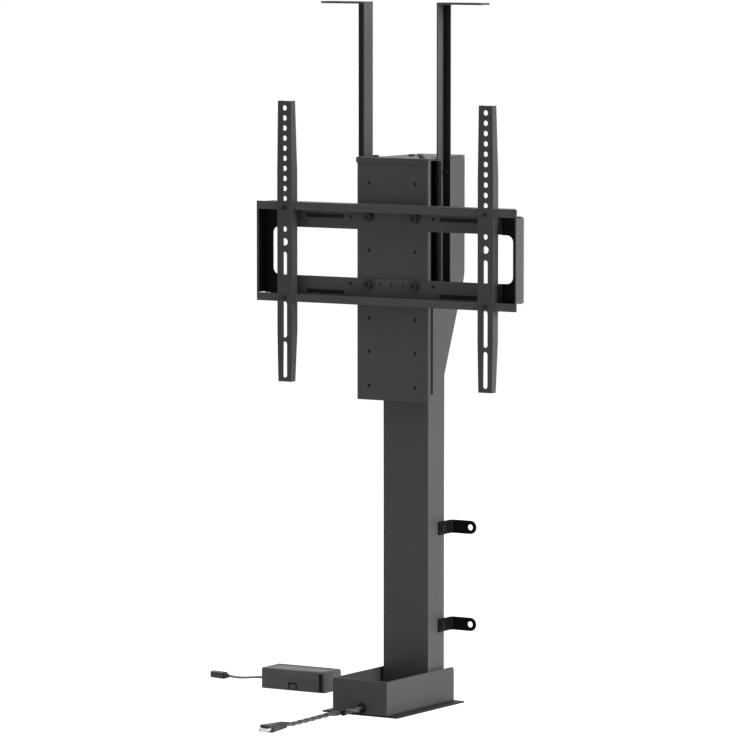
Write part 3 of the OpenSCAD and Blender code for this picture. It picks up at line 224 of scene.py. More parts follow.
def blank(name, low, high):
    """Rectangular blank between two corners, ready to be shaped."""
    deselect()
    low, high = Vector(low), Vector(high)
    bpy.ops.mesh.primitive_cube_add(size=1, location=(low + high) / 2)
    piece = bpy.context.object
    piece.scale = high - low
    bpy.ops.object.transform_apply(location=True, rotation=False, scale=True)
    piece.name = piece.data.name = name
    return piece


def open_up(piece):
    """Goes into edit mode on the piece with nothing selected, and gives its edit mesh."""
    deselect()
    bpy.context.view_layer.objects.active = piece
    piece.select_set(True)
    bpy.ops.object.mode_set(mode="EDIT")
    bpy.ops.mesh.select_mode(type="EDGE")
    bpy.ops.mesh.select_all(action="DESELECT")
    return bmesh.from_edit_mesh(piece.data)


def pick_edges(piece, wanted):
    """Selects the edges whose two ends, a and b, are wanted."""
    mesh = open_up(piece)
    for edge in mesh.edges:
        edge.select_set(bool(wanted(edge.verts[0].co, edge.verts[1].co)))
    mesh.select_flush_mode()
    bmesh.update_edit_mesh(piece.data)


def pick_faces(piece, wanted):
    """Selects the faces whose centre and normal are wanted."""
    mesh = open_up(piece)
    bpy.ops.mesh.select_mode(type="FACE")
    for face in mesh.faces:
        face.select_set(bool(wanted(face.calc_center_median(), face.normal)))
    bmesh.update_edit_mesh(piece.data)


def cut_across(piece, point, normal):
    """Cuts new edges where a plane passes through the whole piece."""
    open_up(piece)
    bpy.ops.mesh.select_all(action="SELECT")
    bpy.ops.mesh.bisect(plane_co=point, plane_no=normal)
    bpy.ops.object.mode_set(mode="OBJECT")


def smooth_over(piece, degrees):
    """Smooth shading, with edges kept sharp above an angle."""
    deselect()
    bpy.context.view_layer.objects.active = piece
    piece.select_set(True)
    bpy.ops.object.shade_smooth_by_angle(angle=math.radians(degrees))


plug_black = soft_black("plug_black", (0.03, 0.03, 0.031), 0.42, 1400, 0.0001)
plug_x, plug_z = -0.026, 0.006
plug_back, plug_front = -0.294, -0.336
neck_half_w, neck_half_h = 0.006, 0.0045
groove_count, groove_pitch, groove_w, groove_depth = 6, 0.0035, 0.0014, 0.0006
lip_half, lip_reach = 0.009, 0.010
plug = blank("tray_plug_moulding", (plug_x - neck_half_w, plug_front, plug_z - neck_half_h),
             (plug_x + neck_half_w, plug_back, plug_z + neck_half_h))
pick_faces(plug, lambda at, n: n.y < -0.9)
bpy.ops.transform.resize(value=(1.5, 1, 4 / 3), center_override=(plug_x, plug_front, plug_z))
pick_edges(plug, lambda a, b: abs(a.y - b.y) > 0.03)
bpy.ops.mesh.bevel(offset=0.0022, segments=4, profile=0.5, affect="EDGES")
pick_edges(plug, lambda a, b: max(a.y, b.y) < plug_front + 0.0001)
bpy.ops.mesh.bevel(offset=0.0006, segments=2, affect="EDGES")
for i in range(groove_count):
    groove_y = plug_back - 0.005 - i * groove_pitch
    for y in (groove_y, groove_y - groove_w):
        cut_across(plug, (0, y, 0), (0, 1, 0))
    pick_faces(plug, lambda at, n: abs(at.y - groove_y + groove_w / 2) < 0.0006
               and abs(n.y) < 0.5)
    bpy.ops.mesh.extrude_region_shrink_fatten(
        TRANSFORM_OT_shrink_fatten={"value": -groove_depth})
lip = blank("lip", (plug_x - lip_half, plug_front - lip_reach, plug_z + 0.002),
            (plug_x + lip_half, plug_front, plug_z + 0.006))
pick_edges(lip, lambda a, b: min(a.y, b.y) < plug_front - 0.009 and abs(a.z - b.z) > 0.003)
bpy.ops.mesh.bevel(offset=0.003, segments=4, affect="EDGES")
pick_edges(lip, lambda a, b: min(a.z, b.z) > plug_z + 0.0055)
bpy.ops.mesh.bevel(offset=0.0008, segments=3, affect="EDGES")
deselect()
lip.select_set(True)
plug.select_set(True)
bpy.context.view_layer.objects.active = plug
bpy.ops.object.join()
smooth_over(plug, 35)
coat(plug, plug_black)
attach(plug, "stand")
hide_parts("tray_plug")


# Contact sleeve under the lip: a thin nickel-plated box, folded from strip, open at its
# front end and held in the plug's moulding.
def plated(name, colour, rough, scratch):
    """Plated or ground metal: bright, with fine drawn scratches and faint stains."""
    finish, tree, shader, place = new_finish(name)
    shader.inputs["Metallic"].default_value = 1
    stretch = tree.nodes.new("ShaderNodeMapping")
    stretch.inputs["Scale"].default_value = (1, 1, 0.08)
    tree.links.new(place, stretch.inputs["Vector"])
    lines = speckle(tree, stretch.outputs["Vector"], scratch, 4)
    tint(tree, shader, speckle(tree, place, 120, 5), (0.3, 0.7),
         ([c * 0.8 for c in colour], [min(1, c * 1.12) for c in colour]))
    vary(tree, lines, shader.inputs["Roughness"], rough - 0.08, rough + 0.12)
    roughen(tree, shader, lines, 0.12, 0.00005)
    return finish


nickel = plated("nickel", (0.58, 0.58, 0.57), 0.35, 900)
sleeve_low, sleeve_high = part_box("tray_plug_tip")
contact = blank("tray_plug_contact", sleeve_low, sleeve_high)
pick_edges(contact, lambda a, b: abs(a.y - b.y) > 0.01)
bpy.ops.mesh.bevel(offset=0.0008, segments=3, affect="EDGES")
pick_faces(contact, lambda at, n: n.y < -0.9)
bpy.ops.mesh.inset(thickness=0.0011)
bpy.ops.mesh.extrude_region_move(TRANSFORM_OT_translate={"value": (0, 0.0012, 0)})
smooth_over(contact, 35)
coat(contact, nickel)
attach(contact, "stand")
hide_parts("tray_plug_tip")
sleeve_rubber = soft_black("sleeve_rubber", (0.007, 0.007, 0.007), 0.6, 1200, 0.0001, 0.08)
coat(nodes["lead_sleeve"], sleeve_rubber)

# Lead of the control box: a 4 mm round lead, short, from the gland in the box's left
# end to a small moulded plug that lies on the floor.
control_route = [(-0.278, 0.051, 0.012), (-0.284, 0.051, 0.012), (-0.293, 0.0518, 0.0117),
                 (-0.303, 0.0546, 0.0107), (-0.313, 0.0582, 0.0093), (-0.323, 0.062, 0.0078),
                 (-0.333, 0.0655, 0.0064), (-0.343, 0.0686, 0.0054), (-0.351, 0.071, 0.005),
                 (-0.356, 0.0726, 0.005), (-0.361, 0.074, 0.005), (-0.366, 0.075, 0.005)]
control_line = eased(control_route, 0.0015)
control_lead = tube("control_lead_sheath", control_line, 0.002, 16)
thin_rubber = soft_black("thin_rubber", (0.06, 0.06, 0.06), 0.3, 1100, 0.00004, 0.6)
coat(control_lead, thin_rubber)
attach(control_lead, "stand")
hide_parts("control_lead")

# Plug of the control box's lead: a tapered neck with rings, then a flat two-part body of
# moulded plastic. It is made along +X and then laid where the lead ends.
small_plug = blank("control_plug_moulding", (0.009, -0.006, -0.005), (0.0346, 0.006, 0.005))
pick_edges(small_plug, lambda a, b: abs(a.x - b.x) > 0.02)
bpy.ops.mesh.bevel(offset=0.0018, segments=4, affect="EDGES")
pick_faces(small_plug, lambda at, n: n.x > 0.9)
bpy.ops.mesh.inset(thickness=0.0016)
bpy.ops.mesh.extrude_region_move(TRANSFORM_OT_translate={"value": (-0.006, 0, 0)})
seam_x = 0.0154
for x in (seam_x - 0.0004, seam_x + 0.0004):
    cut_across(small_plug, (x, 0, 0), (1, 0, 0))
pick_faces(small_plug, lambda at, n: abs(at.x - seam_x) < 0.0002 and abs(n.x) < 0.5)
bpy.ops.mesh.extrude_region_shrink_fatten(TRANSFORM_OT_shrink_fatten={"value": -0.0005})
deselect()
bpy.ops.mesh.primitive_cone_add(vertices=24, radius1=0.0026, radius2=0.0045, depth=0.009,
                                location=(0.0045, 0, 0), rotation=(0, math.pi / 2, 0))
neck = bpy.context.object
bpy.ops.object.transform_apply(location=True, rotation=True, scale=False)
neck_rings = (0.0025, 0.005, 0.0075)
for ring_x in neck_rings:
    for x in (ring_x - 0.0005, ring_x + 0.0005):
        cut_across(neck, (x, 0, 0), (1, 0, 0))
pick_faces(neck, lambda at, n: abs(n.x) < 0.5 and any(abs(at.x - x) < 0.0003 for x in neck_rings))
bpy.ops.mesh.extrude_region_shrink_fatten(TRANSFORM_OT_shrink_fatten={"value": -0.0004})
deselect()
neck.select_set(True)
small_plug.select_set(True)
bpy.context.view_layer.objects.active = small_plug
bpy.ops.object.join()
small_plug.data.transform(Matrix.Translation((-0.366, 0.075, 0.005))
                          @ Matrix.Rotation(math.atan2(1, -5), 4, "Z"))
smooth_over(small_plug, 35)
coat(small_plug, plug_black)
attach(small_plug, "stand")
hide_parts("control_plug")


# Floor plate and folded tray: 2 mm and 2.5 mm sheet steel, laser cut, folded, and powder
# coated in fine-textured dark grey; the floor plate's copy of the coat is made darker as
# painted shade for its dim top. Countersunk screws from below hold the column's foot.
def powder_coat(name, colour, rough, gloss=0.25):
    """Fine-textured powder coat: a sandy grain and slow changes of tone and sheen."""
    finish, tree, shader, place = new_finish(name)
    shader.inputs["Specular IOR Level"].default_value = gloss
    cloud = speckle(tree, place, 9, 5)
    sand = speckle(tree, place, 1700, 2)
    grain = tree.nodes.new("ShaderNodeMix")
    grain.data_type = "FLOAT"
    sand_share, cloud_in, sand_in = grain.inputs[0], grain.inputs[2], grain.inputs[3]
    sand_share.default_value = 0.35
    tree.links.new(cloud, cloud_in)
    tree.links.new(sand, sand_in)
    tint(tree, shader, grain.outputs[0], (0.3, 0.7),
         ([c * 0.86 for c in colour], [c * 1.16 for c in colour]))
    vary(tree, cloud, shader.inputs["Roughness"], rough - 0.06, rough + 0.08)
    roughen(tree, shader, sand, 0.3, 0.00012)
    return finish


def break_edges(piece, width, degrees=50):
    """Takes the razor edge off a solid: flat faces are made whole, then edges are rounded."""
    weld = piece.modifiers.new("weld", "WELD")
    weld.merge_threshold = 0.000001
    flat = piece.modifiers.new("flat faces", "DECIMATE")
    flat.decimate_type = "DISSOLVE"
    flat.angle_limit = math.radians(1)
    edge = piece.modifiers.new("broken edges", "BEVEL")
    edge.width = width
    edge.segments = 2
    edge.limit_method = "ANGLE"
    edge.angle_limit = math.radians(degrees)


base_grey = powder_coat("base_grey", (0.056, 0.056, 0.057), 0.5)
# painted shade: a darker copy of the coat for the floor plate's dim top
plate_painted_shade = powder_coat("plate_painted_shade", (0.022, 0.022, 0.022), 0.55, 0.12)
for name, finish in (("floor_plate", plate_painted_shade), ("foot_tray", base_grey)):
    coat(nodes[name], finish)
    break_edges(nodes[name], 0.0008)
zinc = plated("zinc", (0.42, 0.42, 0.42), 0.4, 700)
coat(nodes["foot_screws"], zinc)
gland_rubber = soft_black("gland_rubber", (0.006, 0.006, 0.006), 0.6, 1200, 0.0001, 0.08)
coat(nodes["outlet_gland"], gland_rubber)

# Column: 2 mm sheet steel folded to a box, wider in depth at the top where it houses the
# motor, and powder coated. Its foot is a solid block that stands on the floor plate.
column_grey = powder_coat("column_grey", (0.060, 0.060, 0.061), 0.46)
coat(nodes["column_shell"], column_grey)
break_edges(nodes["column_shell"], 0.0009)
black_steel = powder_coat("black_steel", (0.006, 0.006, 0.006), 0.55, 0.06)
coat(nodes["column_foot"], black_steel)

# Lifting mast, inside the column at rest: a folded steel section with a block screwed in its
# top, a plastic shoe on its lower end, and the brass lift nut.
coat(nodes["mast"], column_grey)
slide_plastic = soft_black("slide_plastic", (0.03, 0.03, 0.03), 0.45, 1500, 0.00005)
coat(nodes["top_guide"], slide_plastic)
coat(nodes["mast_shoe"], slide_plastic)
milled_steel = plated("milled_steel", (0.5, 0.5, 0.5), 0.35, 500)
coat(nodes["mast_plug"], milled_steel)
brass = plated("brass", (0.72, 0.52, 0.22), 0.3, 800)
coat(nodes["lift_nut"], brass)
coat(nodes["nut_screws"], zinc)

# Drive: motor and gearbox hang from a plate across the housing, and a pair of gears turns
# the lead screw between its thrust bearing and its upper ball bearing.
ground_steel = plated("ground_steel", (0.6, 0.6, 0.61), 0.22, 1200)
for name in ("lead_screw", "motor_shaft", "thrust_bearing", "upper_bearing"):
    coat(nodes[name], ground_steel)
motor_steel = plated("motor_steel", (0.5, 0.5, 0.52), 0.35, 400)
coat(nodes["motor"], motor_steel)
cast_metal = plated("cast_metal", (0.34, 0.34, 0.35), 0.5, 300)
coat(nodes["gearbox"], cast_metal)
coat(nodes["screw_gear"], brass)
coat(nodes["motor_gear"], slide_plastic)
for name in ("drive_plate", "guide_channel"):
    coat(nodes[name], black_steel)
coat(nodes["motor_screws"], zinc)
coat(nodes["motor_lead"], lead_rubber)

# Cap and carriage: a flat cap screwed to the mast's top, two box rails and a back channel
# with slotted ears, and the folded front plate with its two rows of holes.
carriage_grey = powder_coat("carriage_grey", (0.064, 0.064, 0.065), 0.46)
coat(nodes["cap_plate"], column_grey)
break_edges(nodes["cap_plate"], 0.0007)
for name in ("hanger", "left_rail", "right_rail"):
    coat(nodes[name], black_steel)
    break_edges(nodes[name], 0.0003)
coat(nodes["carriage_plate"], carriage_grey)
break_edges(nodes["carriage_plate"], 0.0007)

# Threaded bushes: short steel sleeves pressed into the plate's free holes, blackened, each
# with a bore of 3.8 mm.
bush_steel = plated("bush_steel", (0.05, 0.05, 0.052), 0.45, 700)
bush_y = -0.0377
bush_r = 0.0032
bush_l = 0.0025
bush_rows = (0.780, 0.680, 0.580, 0.530, 0.480)
bush_columns = (-0.04, 0.04)


def turned(radius, length, middle, way, sides=24):
    """Round blank about its middle, that lies along the X, Y or Z way."""
    deselect()
    turn = {"X": (0, math.pi / 2, 0), "Y": (math.pi / 2, 0, 0), "Z": (0, 0, 0)}[way]
    bpy.ops.mesh.primitive_cylinder_add(vertices=sides, radius=radius, depth=length,
                                        location=middle, rotation=turn)
    bpy.ops.object.transform_apply(location=True, rotation=True, scale=False)
    return bpy.context.object


bushes = []
for row_z in bush_rows:
    for bush_x in bush_columns:
        bush = turned(bush_r, bush_l, (bush_x, bush_y + bush_l / 2, row_z), "Y")
        pick_faces(bush, lambda at, n: n.y < -0.9)
        bpy.ops.mesh.bevel(offset=0.0003, segments=2, affect="EDGES")
        pick_faces(bush, lambda at, n: n.y < -0.9)
        bpy.ops.mesh.inset(thickness=0.0010)
        bpy.ops.mesh.extrude_region_move(TRANSFORM_OT_translate={"value": (0, 0.002, 0)})
        bushes.append(bush)


def weld_together(name, parts):
    """Joins parts that ride together into one piece."""
    deselect()
    for part in parts:
        part.select_set(True)
    bpy.context.view_layer.objects.active = parts[0]
    bpy.ops.object.join()
    parts[0].name = parts[0].data.name = name
    return parts[0]


plate_bushes = weld_together("plate_bushes", bushes)
smooth_over(plate_bushes, 35)
coat(plate_bushes, bush_steel)
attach(plate_bushes, "carriage")

# Screen frame: pressed from 2 mm sheet with flanges and lips all round, held on the
# carriage by four pan-head bolts with wide washers.
frame_grey = powder_coat("frame_grey", (0.067, 0.067, 0.068), 0.46)
coat(nodes["screen_frame"], frame_grey)
break_edges(nodes["screen_frame"], 0.0008)
black_oxide = powder_coat("black_oxide", (0.012, 0.012, 0.012), 0.35)
for name in ("cap_screws", "frame_bolts"):
    coat(nodes[name], black_oxide)
coat(nodes["frame_washers"], frame_grey)
coat(nodes["frame_nuts"], zinc)

# End liners: thin near-black angles in the frame's two ends, over the web round the window
# and along the end wall, as painted shade for the frame's dark ends.
# painted shade: near-black sheet where the frame's ends lie in shade
liner_painted_shade = soft_black("liner_painted_shade", (0.006, 0.006, 0.006), 0.6, 1500, 0.0001, 0.06)
frame_low, frame_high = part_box("screen_frame")
web_y = frame_high.y - 0.002
mid_z = (frame_low.z + frame_high.z) / 2
liner_t = 0.0012
liner_in, liner_out = 0.1895, frame_high.x - 0.0022
liner_wing = 0.016
liner_gap = 0.0026
liner = blank("right_end_liner", (liner_in, web_y - liner_t, frame_low.z + liner_gap),
              (liner_out, web_y - 0.0001, frame_high.z - liner_gap))
cut_across(liner, (liner_out - liner_t, 0, 0), (1, 0, 0))
for edge_z in (frame_low.z + 0.0125, frame_high.z - 0.0125):
    cut_across(liner, (0, 0, edge_z), (0, 0, 1))
pick_faces(liner, lambda at, n: n.y < -0.9 and at.x > liner_out - liner_t
           and abs(at.z - mid_z) < 0.05)
bpy.ops.mesh.extrude_region_move(TRANSFORM_OT_translate={"value": (0, -liner_wing, 0)})


def cut_out(piece, cutter):
    """Takes a cutter's shape out of the piece, and throws the cutter away."""
    deselect()
    bpy.context.view_layer.objects.active = piece
    cut = piece.modifiers.new("cut", "BOOLEAN")
    cut.object = cutter
    cut.solver = "EXACT"
    bpy.ops.object.modifier_apply(modifier="cut")
    bpy.data.objects.remove(cutter)


window_end, window_half, window_r = 0.2085, 0.0355, 0.010
window = blank("window", (0.15, web_y - 0.01, mid_z - window_half),
               (window_end, web_y + 0.01, mid_z + window_half))
pick_edges(window, lambda a, b: abs(a.y - b.y) > 0.01)
bpy.ops.mesh.bevel(offset=window_r, segments=8, affect="EDGES")
cut_out(liner, window)
corner_x, corner_h = 0.2135, 0.0108
for far_z in (frame_low.z, frame_high.z):
    reach_z = far_z + math.copysign(corner_h, mid_z - far_z)
    cut_out(liner, blank("corner", (corner_x, web_y - 0.05, min(far_z, reach_z)),
                         (frame_high.x + 0.015, web_y + 0.01, max(far_z, reach_z))))
mirrored = bpy.data.objects.new("left_end_liner", liner.data.copy())
mirrored.data.transform(Matrix.Scale(-1, 4, (1, 0, 0)))
mirrored.data.flip_normals()
bpy.context.scene.collection.objects.link(mirrored)
for piece in (liner, mirrored):
    smooth_over(piece, 35)
    coat(piece, liner_painted_shade)
    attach(piece, "carriage")

# Slot pads and plugs: thin black plastic pads in the frame's four long blind slots, and a
# round plug in each of its four small holes.
pad_ends = (0.0822, 0.1498)
pad_half = 0.0028
pad_rows = (frame_high.z - 0.020, frame_low.z + 0.016)
button_x, button_r, button_l = 0.072, 0.0024, 0.0024
button_rows = (0.730, 0.630)
pads = []
for side in (-1, 1):
    for slot_z in pad_rows:
        left_x, right_x = sorted(side * x for x in pad_ends)
        pad = blank("pad", (left_x, web_y + 0.0005, slot_z - pad_half),
                    (right_x, web_y + 0.0010, slot_z + pad_half))
        pick_edges(pad, lambda a, b: abs(a.y - b.y) > 0.0003)
        bpy.ops.mesh.bevel(offset=pad_half - 0.0001, segments=6, affect="EDGES")
        pads.append(pad)
    for hole_z in button_rows:
        button = turned(button_r, button_l, (side * button_x, web_y + 0.0010, hole_z), "Y")
        pick_faces(button, lambda at, n: n.y < -0.9)
        bpy.ops.mesh.inset(thickness=0.0006)
        bpy.ops.mesh.extrude_region_move(TRANSFORM_OT_translate={"value": (0, 0.0005, 0)})
        pads.append(button)
frame_pads = weld_together("frame_pads", pads)
smooth_over(frame_pads, 35)
pad_plastic = soft_black("pad_plastic", (0.012, 0.012, 0.012), 0.5, 1500, 0.00005, 0.1)
coat(frame_pads, pad_plastic)
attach(frame_pads, "carriage")

# Arms: folded channels that hook over the frame's lips, each locked by two black screws.
arm_grey = powder_coat("arm_grey", (0.057, 0.057, 0.058), 0.46, 0.18)
for name in ("left_arm", "right_arm"):
    coat(nodes[name], arm_grey)
    break_edges(nodes[name], 0.0007)
for name in ("left_arm_screws", "right_arm_screws"):
    coat(nodes[name], black_oxide)

# Lid poles: upright tee sections with a lid plate welded on top, clamped to the ears.
# The forward faces of their outer legs get painted shade: near black with little gloss.
pole_grey_leg_shade = powder_coat("pole_grey_leg_shade", (0.064, 0.064, 0.065), 0.46)
leg_shade_black = (0.004, 0.004, 0.004)
leg_shade_gloss = 0.15
leg_start = 0.0653
leg_end = 1.043


def paint_leg_shade(finish, from_x, to_z):
    """Paints shade into a coat: near black on faces that look forward, outside from_x and below
    to_z.
    """
    tree = finish.node_tree
    shader = tree.nodes["Principled BSDF"]
    place = tree.nodes.new("ShaderNodeTexCoord")
    spot = tree.nodes.new("ShaderNodeSeparateXYZ")
    tree.links.new(place.outputs["Object"], spot.inputs["Vector"])
    lie = tree.nodes.new("ShaderNodeSeparateXYZ")
    tree.links.new(place.outputs["Normal"], lie.inputs["Vector"])
    outward = tree.nodes.new("ShaderNodeMath")
    outward.operation = "ABSOLUTE"
    tree.links.new(spot.outputs["X"], outward.inputs[0])
    shade_share = None
    for source, kind, limit in ((outward.outputs["Value"], "GREATER_THAN", from_x),
                                (spot.outputs["Z"], "LESS_THAN", to_z),
                                (lie.outputs["Y"], "LESS_THAN", -0.7)):
        test = tree.nodes.new("ShaderNodeMath")
        test.operation = kind
        test.inputs[1].default_value = limit
        tree.links.new(source, test.inputs[0])
        if shade_share is None:
            shade_share = test.outputs["Value"]
        else:
            both_true = tree.nodes.new("ShaderNodeMath")
            both_true.operation = "MULTIPLY"
            tree.links.new(shade_share, both_true.inputs[0])
            tree.links.new(test.outputs["Value"], both_true.inputs[1])
            shade_share = both_true.outputs["Value"]
    # painted shade: near-black, low-gloss colour laid on the legs' forward faces
    cover(tree, shader, shade_share, leg_shade_black)
    gloss = shader.inputs["Specular IOR Level"]
    vary(tree, shade_share, gloss, gloss.default_value, leg_shade_gloss)


# painted shade on the poles' outer legs, in the coat they share
paint_leg_shade(pole_grey_leg_shade, leg_start, leg_end)
for name in ("left_lid_pole", "right_lid_pole"):
    coat(nodes[name], pole_grey_leg_shade)
    break_edges(nodes[name], 0.0007)
for name in ("left_clamp_strip", "right_clamp_strip"):
    coat(nodes[name], black_steel)
    break_edges(nodes[name], 0.0003)
for name in ("left_pole_screws", "right_pole_screws"):
    coat(nodes[name], black_oxide)

# Side brackets: small angle brackets of black steel with a round-ended strip, one screw
# each into the column's right side.
for name in ("upper_bracket", "lower_bracket"):
    coat(nodes[name], black_steel)
    break_edges(nodes[name], 0.0007)
coat(nodes["bracket_screws"], black_oxide)

# Control box: two moulded plastic shells, 2 mm thick, with a groove where they meet, broad
# bevels round the lid's top and a sunk field in it, screwed together from below.
box_plastic = soft_black("box_plastic", (0.085, 0.085, 0.086), 0.45, 1600, 0.00008)
case_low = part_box("control_base")[0]
case_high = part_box("control_lid")[1]
case_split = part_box("control_lid")[0].z
case_wall = 0.002
case_r = 0.003
case_chamfer = 0.0004
field_x, field_y, field_depth = 0.008, 0.009, 0.0006
case_lid = blank("control_lid_shell", (case_low.x, case_low.y, case_split), case_high)
case_base = blank("control_base_shell", case_low, (case_high.x, case_high.y, case_split))
for half in (case_lid, case_base):
    pick_edges(half, lambda a, b: abs(a.z - b.z) > 0.01)
    bpy.ops.mesh.bevel(offset=case_r, segments=5, affect="EDGES")
    pick_edges(half, lambda a, b: max(abs(a.z - case_split), abs(b.z - case_split)) < 0.0001)
    bpy.ops.mesh.bevel(offset=case_chamfer, segments=1, affect="EDGES")
pick_edges(case_lid, lambda a, b: min(a.z, b.z) > case_high.z - 0.0001)
bpy.ops.mesh.bevel(offset=0.0027, segments=3, profile=0.4, affect="EDGES")
field = blank("field", (case_low.x + field_x, case_low.y + field_y, case_high.z - field_depth),
              (case_high.x - field_x, case_high.y - field_y, case_high.z + 0.002))
pick_edges(field, lambda a, b: abs(a.z - b.z) > 0.002)
bpy.ops.mesh.bevel(offset=case_r, segments=5, affect="EDGES")
cut_out(case_lid, field)
pick_edges(case_base, lambda a, b: max(a.z, b.z) < 0.0001)
bpy.ops.mesh.bevel(offset=0.0006, segments=2, affect="EDGES")
for half, down in ((case_lid, -1), (case_base, 1)):
    pick_faces(half, lambda at, n: n.z * down > 0.9 and abs(at.z - case_split) < 0.0001)
    bpy.ops.mesh.inset(thickness=case_wall - case_chamfer)
    deep = (case_high.z - case_split if down < 0 else case_split) - case_wall - 0.0006
    bpy.ops.mesh.extrude_region_move(TRANSFORM_OT_translate={"value": (0, 0, -down * deep)})

# Openings and posts of the base: the socket's opening low in its front, the bore of the
# short lead's gland in its left end, and a post for a board screw in each corner.
port_x = (case_low.x + case_high.x) / 2
opening_half, opening_low, opening_high = 0.0078, 0.0009, 0.0121
cut_out(case_base, blank("opening", (port_x - opening_half, case_low.y - 0.002, opening_low),
                         (port_x + opening_half, case_low.y + 0.0035, opening_high)))
bore_r, bore_y, bore_z = 0.0026, 0.051, 0.012
cut_out(case_base, turned(bore_r, 0.008, (case_low.x, bore_y, bore_z), "X", sides=32))
post_r, post_in, post_h = 0.0035, 0.008, 0.0062
shells = [case_base]
for post_x in (case_low.x + post_in, case_high.x - post_in):
    for post_y in (case_low.y + post_in, case_high.y - post_in):
        post = turned(post_r, post_h, (post_x, post_y, case_wall + 0.0029), "Z")
        pick_faces(post, lambda at, n: n.z > 0.9)
        bpy.ops.mesh.inset(thickness=0.0018)
        bpy.ops.mesh.extrude_region_move(TRANSFORM_OT_translate={"value": (0, 0, -0.005)})
        shells.append(post)
weld_together("control_base_shell", shells)
for half, node in ((case_lid, "control_lid"), (case_base, "control_base")):
    smooth_over(half, 35)
    coat(half, box_plastic)
    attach(half, "stand")
    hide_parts(node)

# Socket of the motor's lead: a black socket body behind the opening, closed by a small grey
# shutter that leaves a dark gap all round.
port_black = soft_black("port_black", (0.006, 0.006, 0.006), 0.5, 1500, 0.00005, 0.1)
socket = blank("control_socket", (port_x - 0.0082, case_low.y + 0.0021, 0.0022),
               (port_x + 0.0082, case_low.y + 0.012, 0.0112))
pick_faces(socket, lambda at, n: n.y < -0.9)
bpy.ops.mesh.inset(thickness=0.0012)
bpy.ops.mesh.extrude_region_move(TRANSFORM_OT_translate={"value": (0, 0.007, 0)})
coat(socket, port_black)
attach(socket, "stand")
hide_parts("control_port")
shutter = blank("socket_shutter", (port_x - 0.0054, case_low.y + 0.0003, 0.0009),
                (port_x + 0.0054, case_low.y + 0.0021, 0.0098))
pick_edges(shutter, lambda a, b: max(a.y, b.y) < case_low.y + 0.0004)
bpy.ops.mesh.bevel(offset=0.0005, segments=2, affect="EDGES")
smooth_over(shutter, 35)
coat(shutter, box_plastic)
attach(shutter, "stand")

# A thin strip of near-black plastic at the right end of the box's front, as painted shade
# for the dark band there.
strip_painted_shade = soft_black("strip_painted_shade", (0.005, 0.005, 0.005), 0.45, 1500, 0.00004, 0.08)
end_shade_strip = blank("front_end_shade_strip", (case_high.x - 0.0095, case_low.y - 0.0003, 0.0012),
                 (case_high.x - 0.0028, case_low.y + 0.001, case_high.z - 0.0032))
pick_edges(end_shade_strip, lambda a, b: max(a.y, b.y) < case_low.y)
bpy.ops.mesh.bevel(offset=0.0002, segments=2, affect="EDGES")
smooth_over(end_shade_strip, 35)
coat(end_shade_strip, strip_painted_shade)
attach(end_shade_strip, "stand")

# Inside the box: a circuit board with its large parts, on screws from below, and the gland
# of the short lead in the left end.
coat(nodes["control_gland"], gland_rubber)
coat(nodes["control_screws"], zinc)
board_green = soft_black("board_green", (0.03, 0.13, 0.05), 0.3, 600, 0.00004)
coat(nodes["control_board"], board_green)
coat(nodes["board_parts"], port_black)

# Floor: a plain pale studio floor that goes past the camera's view. To the camera it is
# white wherever the lamps reach it, and the object's soft shadow stays on it.
def seen_white(tree):
    """1 for camera, glossy and transmission rays and 0 for the rest, in a node tree."""
    rays = tree.nodes.new("ShaderNodeLightPath")
    seen = rays.outputs["Is Camera Ray"]
    for kind in ("Is Glossy Ray", "Is Transmission Ray"):
        either = tree.nodes.new("ShaderNodeMath")
        either.operation = "MAXIMUM"
        tree.links.new(seen, either.inputs[0])
        tree.links.new(rays.outputs[kind], either.inputs[1])
        seen = either.outputs["Value"]
    return seen


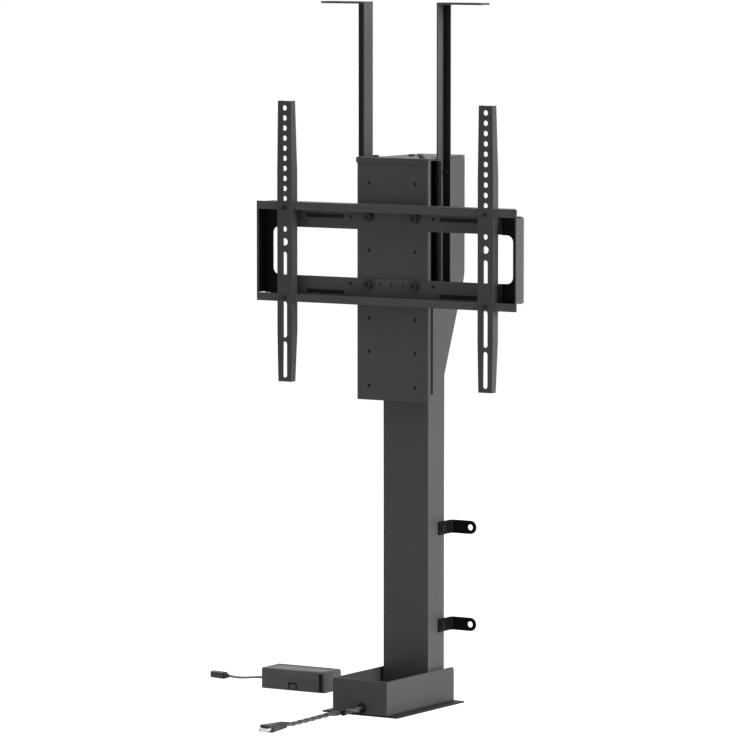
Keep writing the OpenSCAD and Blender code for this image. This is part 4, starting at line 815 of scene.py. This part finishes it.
deselect()
bpy.ops.mesh.primitive_plane_add(size=240, location=(0, 0, 0))
ground = bpy.context.object
ground.name = "ground"
paper = bpy.data.materials.new("paper")
paper.use_nodes = True
tree = paper.node_tree
tree.nodes.clear()
matte = tree.nodes.new("ShaderNodeBsdfDiffuse")
matte.inputs["Color"].default_value = (0.55, 0.55, 0.55, 1)
glow = tree.nodes.new("ShaderNodeEmission")
lift = tree.nodes.new("ShaderNodeMath")
lift.operation = "MULTIPLY"
lift.inputs[1].default_value = 0.9
both = tree.nodes.new("ShaderNodeAddShader")
out = tree.nodes.new("ShaderNodeOutputMaterial")
tree.links.new(seen_white(tree), lift.inputs[0])
tree.links.new(lift.outputs["Value"], glow.inputs["Strength"])
tree.links.new(matte.outputs["BSDF"], both.inputs[0])
tree.links.new(glow.outputs["Emission"], both.inputs[1])
tree.links.new(both.outputs["Shader"], out.inputs["Surface"])
coat(ground, paper)

# Studio: a pale room, white where the camera or a gloss sees it, one large soft lamp low
# on the right, a weak one overhead and one behind on the left for the far sides.
world = bpy.data.worlds.new("studio")
bpy.context.scene.world = world
world.use_nodes = True
tree = world.node_tree
tree.nodes.clear()
room = tree.nodes.new("ShaderNodeBackground")
room.inputs["Strength"].default_value = 0.23
white = tree.nodes.new("ShaderNodeBackground")
white.inputs["Color"].default_value = (1, 1, 1, 1)
choose = tree.nodes.new("ShaderNodeMixShader")
out = tree.nodes.new("ShaderNodeOutputWorld")
tree.links.new(seen_white(tree), choose.inputs[0])
tree.links.new(room.outputs["Background"], choose.inputs[1])
tree.links.new(white.outputs["Background"], choose.inputs[2])
tree.links.new(choose.outputs["Shader"], out.inputs["Surface"])


def lamp(name, place, aim, size, power):
    """Large soft lamp at a place, turned to what it lights."""
    light = bpy.data.lights.new(name, "AREA")
    light.size = size
    light.energy = power
    hung = bpy.data.objects.new(name, light)
    hung.location = place
    hung.rotation_euler = (Vector(aim) - Vector(place)).to_track_quat("-Z", "Y").to_euler()
    bpy.context.scene.collection.objects.link(hung)


lamp("right lamp", place=(3.0, -0.1, 1.5), aim=(0, 0, 0.5), size=2.0, power=140)
lamp("top lamp", place=(0.2, -0.2, 3.4), aim=(0, 0, 0.4), size=2.0, power=30)
lamp("back lamp", place=(-2.8, 1.0, 1.5), aim=(0, 0, 0.5), size=2.0, power=60)

bpy.context.scene.view_settings.view_transform = "Standard"
